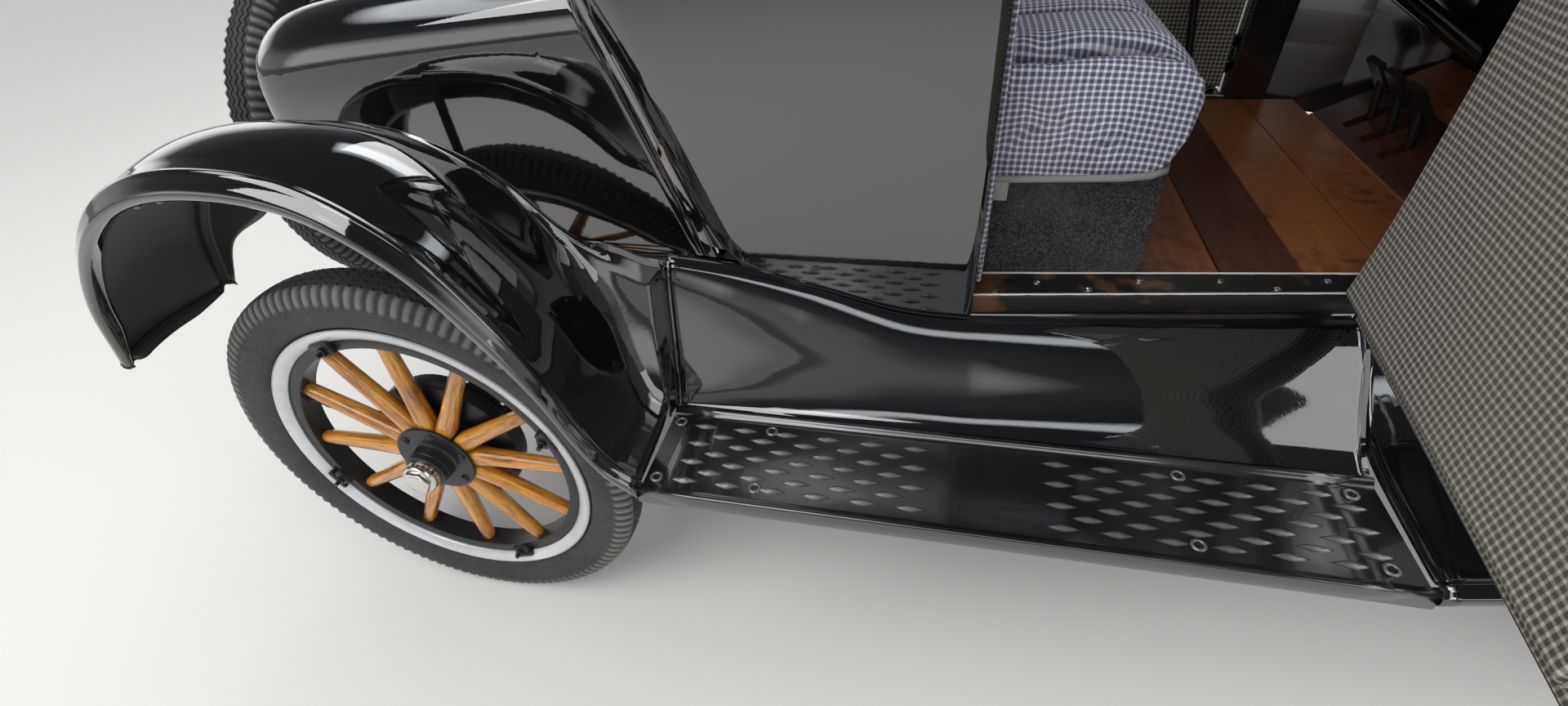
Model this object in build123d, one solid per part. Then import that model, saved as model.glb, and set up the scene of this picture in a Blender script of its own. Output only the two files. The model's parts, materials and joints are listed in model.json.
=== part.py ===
from build123d import *
import os
from math import asin, cos, hypot, radians, sin

# A closed two-seat car of the middle 1920s, with wood-spoked wheels and a rear deck.
# +X is forward, +Y is the car's left and +Z is up. The origin is on the ground, on the
# car's middle plane, halfway between the axles. Sizes are millimetres.

# Wheels and stance
WHEELBASE = 2540
TRACK = 1422
TYRE_RADIUS = 392
TYRE_HALF_WIDTH = 42
RIM_RADIUS = 306
RIM_HALF_WIDTH = 33
FELLOE_IN, FELLOE_OUT = 262, 288
SPOKE_COUNT = 12
HUB_FLANGE_RADIUS = 76
STUB_RADIUS = 16
RUNNING_FIT = 0.05
DRUM_RADIUS = 142
KINGPIN_Y = 630
KINGPIN_RADIUS = 9
STEERING_ARM = 140

# Chassis
RAIL_Y = 298
RAIL_HEIGHT = 76
RAIL_FLANGE = 38
RAIL_WALL = 5
FRAME_TOP = 621
FRAME_END = 30
SPRING_LEAF = 7

# Body
HINGE_X = 250
JAMB_X = -330
DOOR_GAP = 6
WALL = 38
SHEET = 5
JAMB_HALF_WIDTH = 545
BODY_TAPER = 0.121
BODY_BOTTOM = 655
SILL_TOP = 691
BELT = 1195
WALL_TOP = 1800
FLOOR_TOP = 684
FLOOR_BOARD = 20
COWL_REAR = 296
PILLAR_FRONT = 340
PILLAR_IN = 398
CANT_BOTTOM = 1770
FIREWALL_X = 615
FIREWALL = 22
DOOR_OPEN = 77.2
DOOR_LAP = 5
HINGE_OUT = 14

# Running gear covers
BOARD_REAR, BOARD_FRONT = -803, 235
BOARD_IN, BOARD_OUT = 640, 832
BOARD_TOP = 500
FENDER_OUT = 835

# Bonnet and radiator
RADIATOR_X = 1215
RADIATOR_DEPTH = 70
HOOD_SHEET = 6
HOOD_BOTTOM = 700
HOOD_GAP = 6

# Deck and spare wheel
DECK_WALL = 22
LID_FRONT, LID_REAR, LID_HALF_WIDTH = -1000, -1480, 340
LID_GAP = 5
LID_REAR_GAP = 12
SPARE_X, SPARE_Z = -1735, 761

# Steering column: from the hand wheel down to the frame
COLUMN_Y = 225
COLUMN_RADIUS = 19
COLUMN_TOP = (90, 1165)
COLUMN_FOOT = (960, 610)
HAND_WHEEL_RADIUS = 205
ARM_ROOT = 75

FRONT_X, REAR_X = WHEELBASE / 2, -WHEELBASE / 2
HALF_TRACK = TRACK / 2
HUB_Z = TYRE_RADIUS
FRAME_BOTTOM = FRAME_TOP - RAIL_HEIGHT


def block(x, y, z):
    """A box between three pairs of low and high corners."""
    size = [high - low for low, high in (x, y, z)]
    middle = [(high + low) / 2 for low, high in (x, y, z)]
    return Pos(*middle) * Box(*size)


def on_plane(along, distance, point):
    """A point of a flat drawing, set at a distance along the axis it faces."""
    u, v = point
    return {"x": (distance, u, v), "y": (u, distance, v), "z": (u, v, distance)}[along]


def prism(points, along, low, high):
    """A polygon drawn across one axis and extruded along it."""
    wire = Wire.make_polygon([on_plane(along, low, p) for p in points], close=True)
    step = Vector(*on_plane(along, high, (0, 0))) - Vector(*on_plane(along, low, (0, 0)))
    return Solid.extrude(Face(wire), step)


def ruled(rings):
    """A solid through closed rings with as many corners each."""
    return Solid.make_loft([Wire.make_polygon(ring, close=True) for ring in rings], ruled=True)


def turned(profile, place):
    """A ring or disc from (radius, distance along the axle) corners, on a place's X axis."""
    wire = Wire.make_polygon([(w, r, 0) for r, w in profile], close=True)
    return place * Solid.revolve(Face(wire), 360, Axis.X)


def rod(start, end, radius):
    """A round bar between two points."""
    a, b = Vector(*start), Vector(*end)
    return Solid.make_cylinder(radius, (b - a).length, Plane(a, z_dir=b - a))


def bent_rod(points, radius):
    """A round bar through points, with a ball at each bend."""
    bars = [rod(a, b, radius) for a, b in zip(points, points[1:])]
    balls = [Pos(*p) * Sphere(radius) for p in points[1:-1]]
    return fuse(bars + balls)


def fuse(shapes):
    """One shape from touching or overlapping shapes."""
    whole = shapes[0]
    for shape in shapes[1:]:
        whole = whole + shape
    return whole


def mirrored(shape):
    """The same shape on the car's other side."""
    return shape.mirror(Plane.XZ)


def pair(shape):
    """A shape of one side, and its twin on the other."""
    return [shape, mirrored(shape)]


def save(name, shapes):
    """Write one piece of the car, which may be several solids."""
    solids = [solid for shape in shapes for solid in shape.solids()]
    export_step(Compound(solids), f"parts/{name}.step")


def beside(path, gap):
    """An open path moved to its left by a gap, with mitred corners."""
    moved = []
    for i, (u, v) in enumerate(path):
        before, after = path[max(i - 1, 0)], path[min(i + 1, len(path) - 1)]
        one = unit(u - before[0], v - before[1]) if i else None
        two = unit(after[0] - u, after[1] - v) if i < len(path) - 1 else None
        one, two = one or two, two or one
        mean = unit(one[0] + two[0], one[1] + two[1])
        reach = gap / max(mean[0] * two[0] + mean[1] * two[1], 0.5)
        moved.append((u - mean[1] * reach, v + mean[0] * reach))
    return moved


def unit(u, v):
    """A direction of length one."""
    return u / hypot(u, v), v / hypot(u, v)


def strip(path, thickness):
    """The closed outline of a sheet that follows an open path."""
    return path + beside(path, thickness)[::-1]


def blend(rows, x):
    """The value at x in a table of (x, value) rows, straight between the rows."""
    rows = sorted(rows)
    for (x0, v0), (x1, v1) in zip(rows, rows[1:]):
        if x <= x1:
            return v0 + (v1 - v0) * max(x - x0, 0) / (x1 - x0)
    return rows[-1][1]


# How far the body's side leans in, by height
TUCK = [(BODY_BOTTOM, 16), (720, 9), (800, 3), (950, 0), (BELT, 0), (WALL_TOP, 22)]


def skin(x, z):
    """Half the body's width at the doors, which narrows forwards and leans in with height."""
    return JAMB_HALF_WIDTH - BODY_TAPER * max(x - JAMB_X, 0) - blend(TUCK, z)


def wheel_place(x, side):
    """An axle line that starts on the track plane and points outwards."""
    return Pos(x, side * HALF_TRACK, HUB_Z) * Rot(0, 0, 90 * side)


# Distance along the axle is counted outwards from the track plane
RIM = [(FELLOE_IN, -20), (FELLOE_OUT, -20), (290, -RIM_HALF_WIDTH), (RIM_RADIUS, -RIM_HALF_WIDTH),
       (RIM_RADIUS, -28), (296, -24), (296, 24), (RIM_RADIUS, 28), (RIM_RADIUS, RIM_HALF_WIDTH),
       (290, RIM_HALF_WIDTH), (FELLOE_OUT, 20), (FELLOE_IN, 20)]
BARE_RIM = RIM[1:-1]
TYRE_HALF = [(297, 21), (307, 23), (308, 34), (332, 41), (362, 40), (381, 28), (391, 11)]
TYRE = [(r, -w) for r, w in TYRE_HALF[::-1]] + TYRE_HALF
HUB = [(STUB_RADIUS + RUNNING_FIT, -45), (34, -45), (36, -24), (HUB_FLANGE_RADIUS, -23),
       (HUB_FLANGE_RADIUS, -17), (40, -17), (40, 17), (HUB_FLANGE_RADIUS, 17),
       (HUB_FLANGE_RADIUS, 23), (35, 24), (35, 62), (27, 66), (25, 84), (0, 84), (0, 40),
       (STUB_RADIUS + RUNNING_FIT, 40)]
DRUM = [(40, -23), (DRUM_RADIUS, -23), (DRUM_RADIUS, -52), (DRUM_RADIUS - 6, -52),
        (DRUM_RADIUS - 6, -29), (36, -29)]


def spokes(place):
    """Twelve tapered wooden spokes, fitted together as a disc at the hub."""
    # radius, width across the wheel's face, thickness along the axle
    stages = [(52, 30, 30), (110, 36, 32), (FELLOE_IN - 0.6, 26, 24)]
    disc = turned([(40.2, -16.8), (74, -16.8), (74, 16.8), (40.2, 16.8)], Pos(0, 0, 0))
    rings = []
    for radius, width, depth in stages:
        u, v = width / 2, depth / 2
        corner = [(u, v / 2), (u / 2, v), (-u / 2, v), (-u, v / 2),
                  (-u, -v / 2), (-u / 2, -v), (u / 2, -v), (u, -v / 2)]
        rings.append([(b, a, radius) for a, b in corner])
    spoke = ruled(rings)
    turn = 360 / SPOKE_COUNT
    wheel = fuse([disc] + [Rot(i * turn, 0, 0) * spoke for i in range(SPOKE_COUNT)])
    return place * wheel


def wheels():
    """Four wheels: the tyre, the wooden spokes, and the steel hub and rim."""
    for name, x, side in (("front_left", FRONT_X, 1), ("front_right", FRONT_X, -1),
                          ("rear_left", REAR_X, 1), ("rear_right", REAR_X, -1)):
        place = wheel_place(x, side)
        hub = turned(HUB, place)
        if x == REAR_X:
            hub = hub + turned(DRUM, place)
        save(f"{name}_tyre", [turned(TYRE, place)])
        save(f"{name}_spokes", [spokes(place)])
        save(f"{name}_hub_and_rim", [hub, turned(RIM, place)])


def leaf_spring(x, width, reach, end_z, rise, leaves):
    """A crosswise leaf spring that arches up, its longest leaf the lowest."""
    radius = (reach ** 2 + rise ** 2) / (2 * rise)
    middle = end_z + rise - radius
    stack = []
    for i in range(leaves):
        half = asin(reach / radius) * (1 - 0.86 * i / leaves)
        low, high = radius + i * SPRING_LEAF, radius + (i + 1) * SPRING_LEAF
        outline = [arc_point(low, -half), arc_point(low, half), arc_point(high, half), arc_point(high, -half)]
        edges = [ThreePointArc(outline[0], (0, low), outline[1]), Line(outline[1], outline[2]),
                 ThreePointArc(outline[2], (0, high), outline[3]), Line(outline[3], outline[0])]
        face = Face(Wire(edges))
        stack.append(extrude(Plane.YZ * face, width))
    return Pos(x - width / 2, 0, middle) * fuse(stack)


def arc_point(radius, angle):
    """A point on a circle, counted from straight up."""
    return radius * sin(angle), radius * cos(angle)


REAR_SPRING = {"width": 56, "reach": 560, "end_z": 430, "rise": 100, "leaves": 7}
FRONT_SPRING = {"width": 44, "reach": 430, "end_z": 452, "rise": 108, "leaves": 6}


def spring_top(spring):
    """The height of a spring's uppermost leaf."""
    return spring["end_z"] + spring["rise"] + spring["leaves"] * SPRING_LEAF


def frame():
    """Two channel rails, their crossmembers, and the brackets that carry body, boards and fenders."""
    web, inner = RAIL_Y, RAIL_Y - RAIL_FLANGE
    channel = [(web, FRAME_BOTTOM), (web, FRAME_TOP), (inner, FRAME_TOP), (inner, FRAME_TOP - RAIL_WALL),
               (web - RAIL_WALL, FRAME_TOP - RAIL_WALL), (web - RAIL_WALL, FRAME_BOTTOM + RAIL_WALL),
               (inner, FRAME_BOTTOM + RAIL_WALL), (inner, FRAME_BOTTOM)]
    rail = prism(channel, "x", REAR_X - FRAME_END, FRONT_X + FRAME_END)
    side = [rail]
    for x in (-620, 90):
        drop = [(web, 575), (web, 560), (600, 472), (BOARD_OUT - 12, 472), (BOARD_OUT - 12, 482), (602, 482)]
        side.append(prism(drop, "x", x - 16, x + 16))
    for x, reach in ((JAMB_X + 5, 480), (180, 420)):
        bracket = [(web, 580), (web + 8, 580), (web + 8, 645), (reach, 645), (reach, BODY_BOTTOM),
                   (web, BODY_BOTTOM)]
        side.append(prism(bracket, "x", x - 20, x + 20))
    side.append(block((REAR_X + 20, REAR_X + 70), (inner, web), (FRAME_TOP - 1, DECK_BOTTOM)))
    side.append(bent_rod([(REAR_X + 30, web - 2, 600), (REAR_X + 20, 545, 640), (REAR_X - 10, 589, 945)], 9))
    stay_x = FRONT_X - 90
    side.append(bent_rod([(stay_x, web - 2, 600), (stay_x, 400, 800), (stay_x, 583, 915)], 9))
    rear_z, front_z = spring_top(REAR_SPRING), spring_top(FRONT_SPRING)
    cross = [block((REAR_X - 28, REAR_X + 28), (-web, web), (rear_z, FRAME_TOP)),
             block((FRONT_X - 24, FRONT_X + 24), (-web, web), (front_z, FRAME_TOP))]
    return fuse(cross + plate_bracket() + side + [mirrored(s) for s in side])


PLATE_HOLES, PLATE_HOLE_Z = 178, 612


def plate_bracket():
    """The strip in front of the radiator that a number plate is bolted to."""
    x, z = FRONT_X + 52, PLATE_HOLE_Z
    bar = block((x, x + 4), (-PLATE_HOLES / 2 - 20, PLATE_HOLES / 2 + 20), (z - 14, z + 14))
    for y in (-PLATE_HOLES / 2, PLATE_HOLES / 2):
        bar = bar - Pos(x + 2, y, z) * Rot(0, 90, 0) * Cylinder(3.5, 20)
    return [bar] + pair(block((FRONT_X + 24, x), (46, 66), (z - 6, z + 6)))


def axle_stub(side, x):
    """The round end that a wheel turns on."""
    return turned([(0, -75), (STUB_RADIUS, -75), (STUB_RADIUS, 35), (0, 35)], wheel_place(x, side))


def rear_axle():
    """The live axle's housing, its brake plates, the drive tube and the two radius rods."""
    z = HUB_Z
    halves = []
    for side in (1, -1):
        place = wheel_place(REAR_X, side)
        tube = [(0, -HALF_TRACK + 90), (62, -HALF_TRACK + 90), (34, -HALF_TRACK + 300), (30, -75), (0, -75)]
        plate = [(0, -66), (DRUM_RADIUS - 8, -66), (DRUM_RADIUS - 8, -60), (0, -60)]
        perch = block((REAR_X - 28, REAR_X + 28), sorted((side * 545, side * 577)), (z, z + 36))
        rod_end = (REAR_X + 20, side * 590, z - 20)
        halves += [turned(tube, place), turned(plate, place), axle_stub(side, REAR_X), perch,
                   rod(rod_end, (180, side * 20, 500), 13)]
    ball = Pos(REAR_X, 0, z) * Sphere(128)
    tube = rod((REAR_X, 0, z), (320, 0, 520), 30)
    joint = Pos(322, 0, 520) * Sphere(56)
    return fuse([ball, tube, joint] + halves)


def front_axle():
    """The beam axle with its forked ends and kingpins, and the radius rods that brace it."""
    z, fork = HUB_Z, 62
    web = [(-16, z - 20), (16, z - 20), (16, z - 12), (5, z - 8), (5, z + 8), (16, z + 12),
           (16, z + 20), (-16, z + 20), (-16, z + 12), (-5, z + 8), (-5, z - 8), (-16, z - 12)]
    beam = prism([(FRONT_X + u, v) for u, v in web], "y", -KINGPIN_Y + 40, KINGPIN_Y - 40)
    ends = []
    for side in (1, -1):
        yoke = block((FRONT_X - 20, FRONT_X + 20), sorted((side * 575, side * (KINGPIN_Y + 20))),
                     (z - fork, z + fork))
        mouth = block((FRONT_X - 30, FRONT_X + 30), sorted((side * 590, side * 700)), (z - 48, z + 48))
        pin = Pos(FRONT_X, side * KINGPIN_Y, z) * Cylinder(KINGPIN_RADIUS, 2 * fork + 14)
        perch = block((FRONT_X - 20, FRONT_X + 20), sorted((side * 412, side * 446)),
                      (z, FRONT_SPRING["end_z"] - 2))
        ends += [yoke - mouth, pin, perch,
                 rod((FRONT_X - 6, side * 540, z - 12), (640, side * 6, 449.7), 12)]
    ball = Pos(638, 0, 449.7) * Sphere(20)
    return fuse([beam, ball] + ends)


def knuckle(side):
    """A steering knuckle: the kingpin barrel, the wheel's stub, and the arm that steers it."""
    z = HUB_Z
    barrel = Pos(FRONT_X, side * KINGPIN_Y, z) * Cylinder(18, 88)
    web = rod((FRONT_X, side * KINGPIN_Y, z), (FRONT_X, side * (HALF_TRACK - 45.5), z), 24)
    arm = block((FRONT_X - STEERING_ARM, FRONT_X), sorted((side * (KINGPIN_Y - 9), side * (KINGPIN_Y + 9))),
                (z - 40, z - 26))
    eye = Pos(FRONT_X - STEERING_ARM, side * KINGPIN_Y, z - 33) * Cylinder(17, 14)
    bore = Pos(FRONT_X, side * KINGPIN_Y, z) * Cylinder(KINGPIN_RADIUS + RUNNING_FIT, 100)
    eye_bore = Pos(FRONT_X - STEERING_ARM, side * KINGPIN_Y, z - 33) * Cylinder(6 + RUNNING_FIT, 40)
    return fuse([barrel, web, axle_stub(side, FRONT_X), arm, eye]) - bore - eye_bore


def tie_rod():
    """The rod that joins both knuckles, with the drag link that comes from the column's arm."""
    x, z = FRONT_X - STEERING_ARM, HUB_Z - 33
    parts = [rod((x, -KINGPIN_Y, z - 26), (x, KINGPIN_Y, z - 26), 11)]
    for side in (1, -1):
        low, high = z - 26, z + 10
        parts += [Pos(x, side * KINGPIN_Y, (low + high) / 2) * Cylinder(6, high - low),
                  Pos(x, side * KINGPIN_Y, z - 26) * Cylinder(15, 26)]
    cup_x, cup_y, cup_z = arm_ball()
    hollow = Pos(cup_x, cup_y, cup_z) * Sphere(BALL_RADIUS + 1)
    cup = Pos(cup_x, cup_y, cup_z - 12) * Cylinder(20, 16) - hollow
    link = rod((cup_x, cup_y - 14, cup_z - 14), (x + 14, -520, z - 22), 9)
    boss = Pos(x + 6, -520, z - 24) * Sphere(17)
    return fuse(parts + [link - hollow, boss, cup])


COLUMN_SLOPE = Vector(COLUMN_FOOT[0] - COLUMN_TOP[0], 0, COLUMN_FOOT[1] - COLUMN_TOP[1]).normalized()
BALL_RADIUS = 13


def arm_ball():
    """The ball at the end of the column's arm, square to the column and below its foot."""
    foot = Vector(COLUMN_FOOT[0], COLUMN_Y, COLUMN_FOOT[1]) + COLUMN_SLOPE * ARM_ROOT
    down = Vector(COLUMN_SLOPE.Z, 0, -COLUMN_SLOPE.X)
    return tuple(foot + down * STEERING_ARM)


def column_place(distance):
    """A place on the steering column, measured down from the hand wheel, that faces down it."""
    start = Vector(COLUMN_TOP[0], COLUMN_Y, COLUMN_TOP[1]) + COLUMN_SLOPE * distance
    return Location(Plane(start, x_dir=(0, 1, 0), z_dir=COLUMN_SLOPE))


COLUMN_LENGTH = hypot(COLUMN_FOOT[0] - COLUMN_TOP[0], COLUMN_FOOT[1] - COLUMN_TOP[1])


def steering_column():
    """The fixed tube from the gear case under the hand wheel to its bracket on the frame."""
    tube = column_place(COLUMN_LENGTH / 2 + 20) * Cylinder(COLUMN_RADIUS, COLUMN_LENGTH - 40)
    case = column_place(38) * Cylinder(40, 36)
    bracket = block((COLUMN_FOOT[0] - 75, COLUMN_FOOT[0] - 25), (COLUMN_Y - 14, RAIL_Y - RAIL_FLANGE),
                    (FRAME_TOP - RAIL_WALL, FRAME_TOP + 35))
    return fuse([tube, case, bracket])


def column_arm():
    """The arm at the column's foot that swings the drag link."""
    shaft = column_place(COLUMN_LENGTH + ARM_ROOT / 2) * Cylinder(12, ARM_ROOT)
    arm = rod(tuple(column_place(COLUMN_LENGTH + ARM_ROOT).position), arm_ball(), 10)
    boss = column_place(COLUMN_LENGTH + ARM_ROOT) * Cylinder(18, 24)
    return fuse([shaft, boss, arm, Pos(*arm_ball()) * Sphere(BALL_RADIUS)])


def steering_wheel():
    """A four-spoked hand wheel on a short shaft above the gear case."""
    rim = column_place(-20) * Torus(HAND_WHEEL_RADIUS - 13, 13)
    hub = column_place(-2) * Cylinder(26, 32)
    spokes_four = [column_place(-8) * Rot(0, 0, a) * Pos((HAND_WHEEL_RADIUS - 13) / 2, 0, -6)
                   * Box(HAND_WHEEL_RADIUS - 13, 18, 7) for a in (45, 135, 225, 315)]
    return fuse([hub, rim] + spokes_four)


def engine():
    """The engine and gear case as one plain mass, with the arms that rest on the rails."""
    mass = [block((660, 1120), (-105, 105), (575, 905)), block((680, 1100), (-85, 85), (905, 950)),
            block((640, 1170), (-120, 120), (470, 580)), block((378, 660), (-135, 135), (470, 655)),
            block((670, 715), (-RAIL_Y + 4, RAIL_Y - 4), (FRAME_TOP, FRAME_TOP + 18))]
    pipe = bent_rod([(900, 95, 690), (900, 165, 690), (640, 165, 590), (330, 165, 545), (250, 150, 540),
                     (-300, 150, 540)], 21)
    silencer = rod((-290, 150, 540), (-760, 150, 540), 50)
    tail = rod((-750, 150, 540), (-960, 150, 535), 18)
    return fuse(mass + [pipe, silencer, tail])


def arch(width, top, shoulder, foot, tuck=0):
    """One half of a bonnet's section: up the side, round the shoulder and in to the middle."""
    half = [(width - tuck, foot), (width - 0.2 * tuck, foot + 145), (width, top - 2.1 * shoulder),
            (width - 0.1 * shoulder, top - 1.2 * shoulder),
            (width - 0.45 * shoulder, top - 0.5 * shoulder), (width - shoulder, top - 0.16 * shoulder)]
    return half + [(0, top)]


# Bonnet stations: x, half-width, top height, shoulder
HOOD_STATIONS = [(FIREWALL_X, 330, 1165, 95), (RADIATOR_X, 228, 1142, 75)]
# Scuttle stations: the same, and how far the foot leans in
COWL_STATIONS = [(FIREWALL_X, 330, 1165, 95, 0), (480, 408, 1180, 95, 6),
                 (PILLAR_FRONT, skin(PILLAR_FRONT, 1000), 1198, 95, 14),
                 (COWL_REAR, skin(COWL_REAR, 1000), 1200, 95, 16)]
HOOD_EDGE = 16
HINGE_ROD = 8


def along_hood(x):
    """The bonnet's half-width, top and shoulder at x."""
    return [blend([(row[0], row[i]) for row in HOOD_STATIONS], x) for i in (1, 2, 3)]


def hood_half(side):
    """One side of the bonnet, hinged along the middle."""
    rings = []
    for x in (FIREWALL_X + FIREWALL + HOOD_GAP, RADIATOR_X - HOOD_GAP):
        width, top, shoulder = along_hood(x)
        path = arch(width, top, shoulder, HOOD_BOTTOM)
        path[-1] = (HOOD_EDGE, top)
        rings.append([(x, side * y, z) for y, z in strip(path, HOOD_SHEET)])
    return ruled(rings)


def cowl():
    """The scuttle behind the bonnet, its wooden bulkhead and the two windscreen pillars."""
    rings = []
    for x, width, top, shoulder, tuck in COWL_STATIONS:
        half = arch(width, top, shoulder, BODY_BOTTOM, tuck)
        path = [(-y, z) for y, z in half] + half[-2::-1]
        rings.append([(x, y, z) for y, z in strip(path, -WALL + 10)])
    rail = block((SCREEN_X - 5, SCREEN_X + 27), (-PILLAR_IN - 4, PILLAR_IN + 4), (1150, SCREEN["bottom"]))
    return fuse([ruled(rings), bulkhead(), rail, hinge_rod()] + pair(screen_pillar()) + hinge_posts()
                + [mirrored(post) for post in hinge_posts()])


def bulkhead():
    """The wooden board between the cab and the engine, cut out over the gear case and for the column."""
    half = arch(*HOOD_STATIONS[0][1:], FRAME_TOP)
    outline = [(-y, z) for y, z in half] + half[-2::-1]
    board = prism(outline, "x", FIREWALL_X, FIREWALL_X + FIREWALL)
    over_gears = block((FIREWALL_X - 5, FIREWALL_X + FIREWALL + 5), (-142, 142), (FRAME_TOP - 5, 662))
    column_hole = column_place(COLUMN_LENGTH / 2 + 20) * Cylinder(COLUMN_RADIUS + 8, COLUMN_LENGTH)
    return board - over_gears - column_hole


def screen_pillar():
    """The left door post, which goes on up beside the windscreen."""
    front, rear = HINGE_X + DOOR_GAP, PILLAR_FRONT
    rings = []
    for z in [z for z, _ in TUCK[:5]] + [CANT_BOTTOM]:
        plan = [(front, skin(front, z)), (rear, skin(rear, z)), (rear, PILLAR_IN), (front, PILLAR_IN)]
        rings.append([(x, y, z) for x, y in plan])
    return ruled(rings)


def hinge_rod():
    """The rod along the bonnet's middle that both its halves are hinged to."""
    rear, front = (row[2] - 5 for row in HOOD_STATIONS)
    return rod((FIREWALL_X + 5, 0, rear), (RADIATOR_X - 0.4, 0, front), HINGE_ROD)


CORNER = 105
# Cab levels: height, rear face
CAB_REAR = [(BODY_BOTTOM, -775), (720, -790), (800, -812), (950, -862), (BELT, -940), (WALL_TOP, -915)]


def cab_ring(z, inset, front):
    """The plan of the cab at one height: back along one side, round the corners and forwards."""
    width, rear, corner = skin(JAMB_X, z) - inset, blend(CAB_REAR, z) + inset, CORNER - inset
    half = [(front, width), (rear + corner, width)]
    for angle in (30, 60, 90):
        a = radians(angle)
        half.append((rear + corner - corner * sin(a), width - corner + corner * cos(a)))
    return [(x, y, z) for x, y in half] + [(x, -y, z) for x, y in half[::-1]]


def cab_block(inset, grow=0):
    """The cab's full form as one solid, set in by a wall."""
    return ruled([cab_ring(z, inset, JAMB_X + grow) for z, _ in CAB_REAR])


# The lower edge of the body's side: x, height
HEM = [(-803, 758), (-787, 754), (-574, 699), (-442, 662), (-336, BODY_BOTTOM),
       (BOARD_FRONT + 20, BODY_BOTTOM)]
QUARTER_WINDOW = (-790, -420, 1240, 1650)
REAR_WINDOW = (-250, 250, 1300, 1570)


def cab():
    """The body behind the doors: both quarters and the back, with their windows cut."""
    shell = ruled([cab_ring(z, 0, JAMB_X) + cab_ring(z, WALL, JAMB_X)[::-1] for z, _ in CAB_REAR])
    below = HEM[1:5] + [(JAMB_X + 20, BODY_BOTTOM), (JAMB_X + 20, 500), (-1000, 500), (-1000, 758)]
    low, high, bottom, top = QUARTER_WINDOW
    quarter = block((low, high), (-700, 700), (bottom, top))
    low, high, bottom, top = REAR_WINDOW
    back = block((-1000, -850), (low, high), (bottom, top))
    shelf = block((-905, -790), (-505, 505), (1165, 1183)) & cab_block(WALL - 1)
    return shell - prism(below, "y", -700, 700) - quarter - back + shelf


def sill_in(x):
    """The inner edge of the left threshold, in line with the cab's edge further back."""
    return blend([(JAMB_X, 452), (HINGE_X, 392)], max(x, JAMB_X))


def sills():
    """The two door thresholds, which narrow forwards with the body."""
    inset = DOOR_LAP + DOOR_GAP
    plan = [(x, skin(x, SILL_TOP) - inset) for x in (JAMB_X, HINGE_X)]
    plan += [(x, sill_in(x)) for x in (HINGE_X, JAMB_X)]
    low = [(x, y - 7) for x, y in plan[:2]] + plan[2:]
    sill = ruled([[(x, y, BODY_BOTTOM) for x, y in low], [(x, y, SILL_TOP) for x, y in plan]])
    return pair(sill)


def floor():
    """Boards laid across the car on two bearers, and the sloping toe boards."""
    under, rear, front = FLOOR_TOP - FLOOR_BOARD, -720, 400
    toe_top, toe_under = 800, 778
    slope = [(440, FRAME_TOP), (FIREWALL_X, 715), (FIREWALL_X, toe_under), (front, under)]
    bearer = prism([(rear, FRAME_TOP)] + slope + [(rear, under)], "y", RAIL_Y - RAIL_FLANGE, RAIL_Y)
    edges = [rear, -330, -75, 45, 165, 285, front]
    boards = []
    for low, high in zip(edges, edges[1:]):
        width = sill_in(high) - 1
        boards.append(block((low + 1.5, high - 1.5), (-width, width), (under, FLOOR_TOP)))
    toe = prism([(front, under), (front, FLOOR_TOP), (FIREWALL_X, toe_top), (FIREWALL_X, toe_under)],
                "y", -295, 295)
    whole = fuse([bearer, mirrored(bearer), toe] + boards)
    for y in PEDAL_Y:
        whole = whole - block((425, 520), (y - 14, y + 14), (600, 900))
    return whole - block((110, 170), (BRAKE_LEVER_Y - 14, BRAKE_LEVER_Y + 16), (under, 900))


PEDAL_Y = (190, 110, 30)
BRAKE_LEVER_Y = RAIL_Y + 8


def controls():
    """Three pedals from the gear case and the brake lever beside the driver."""
    parts = []
    for y in PEDAL_Y:
        foot = min(y, 120)
        arm = bent_rod([(470, foot, 655), (470, foot, 668), (470, y, 690 - (y == foot)), (455, y, 790)], 8)
        parts.append(fuse([arm, Pos(448, y, 800) * Rot(0, -35, 0) * Box(12, 56, 70)]))
    lever = bent_rod([(140, BRAKE_LEVER_Y, 636), (140, BRAKE_LEVER_Y, 700), (95, BRAKE_LEVER_Y + 12, 985)], 8)
    return parts + [lever]


SEAT_FRONT = -79
SEAT_BASE_TOP = 861
# Half-widths of the seat, which narrows with the body: x, cushion
SEAT_PLAN = [(-800, 492), (JAMB_X, 492), (-50, 464)]


def in_plan(half, low, high):
    """An upright block over a plan that is the same on both sides."""
    return prism(half + [(x, -y) for x, y in half[::-1]], "z", low, high)


def seat_base():
    """The carpeted box that carries the seat and encloses the fuel tank."""
    half = [(x, sill_in(x) - 1) for x in (-700, JAMB_X, SEAT_FRONT)]
    return in_plan(half, FLOOR_TOP, SEAT_BASE_TOP)


def seat_cushion():
    """The seat cushion, with a full rounded front roll."""
    z = SEAT_BASE_TOP + 0.3
    outline = [(-560, z), (-95, z), (-68, z + 25), (-55, z + 80), (-62, z + 135), (-95, z + 168),
               (-160, z + 180), (-400, z + 165), (-545, z + 150), (-560, z + 130)]
    return prism(outline, "y", -495, 495) & in_plan(SEAT_PLAN, z - 10, z + 300)


def seat_back():
    """The seat's back cushion, leaning rearwards."""
    z = SEAT_BASE_TOP + 0.3
    outline = [(-565, z + 5), (-562, z + 155), (-568, z + 240), (-625, z + 560), (-660, z + 590),
               (-730, z + 590), (-758, z + 560), (-735, z + 300), (-698, z), (-600, z)]
    return prism(outline, "y", -488, 488)


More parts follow.
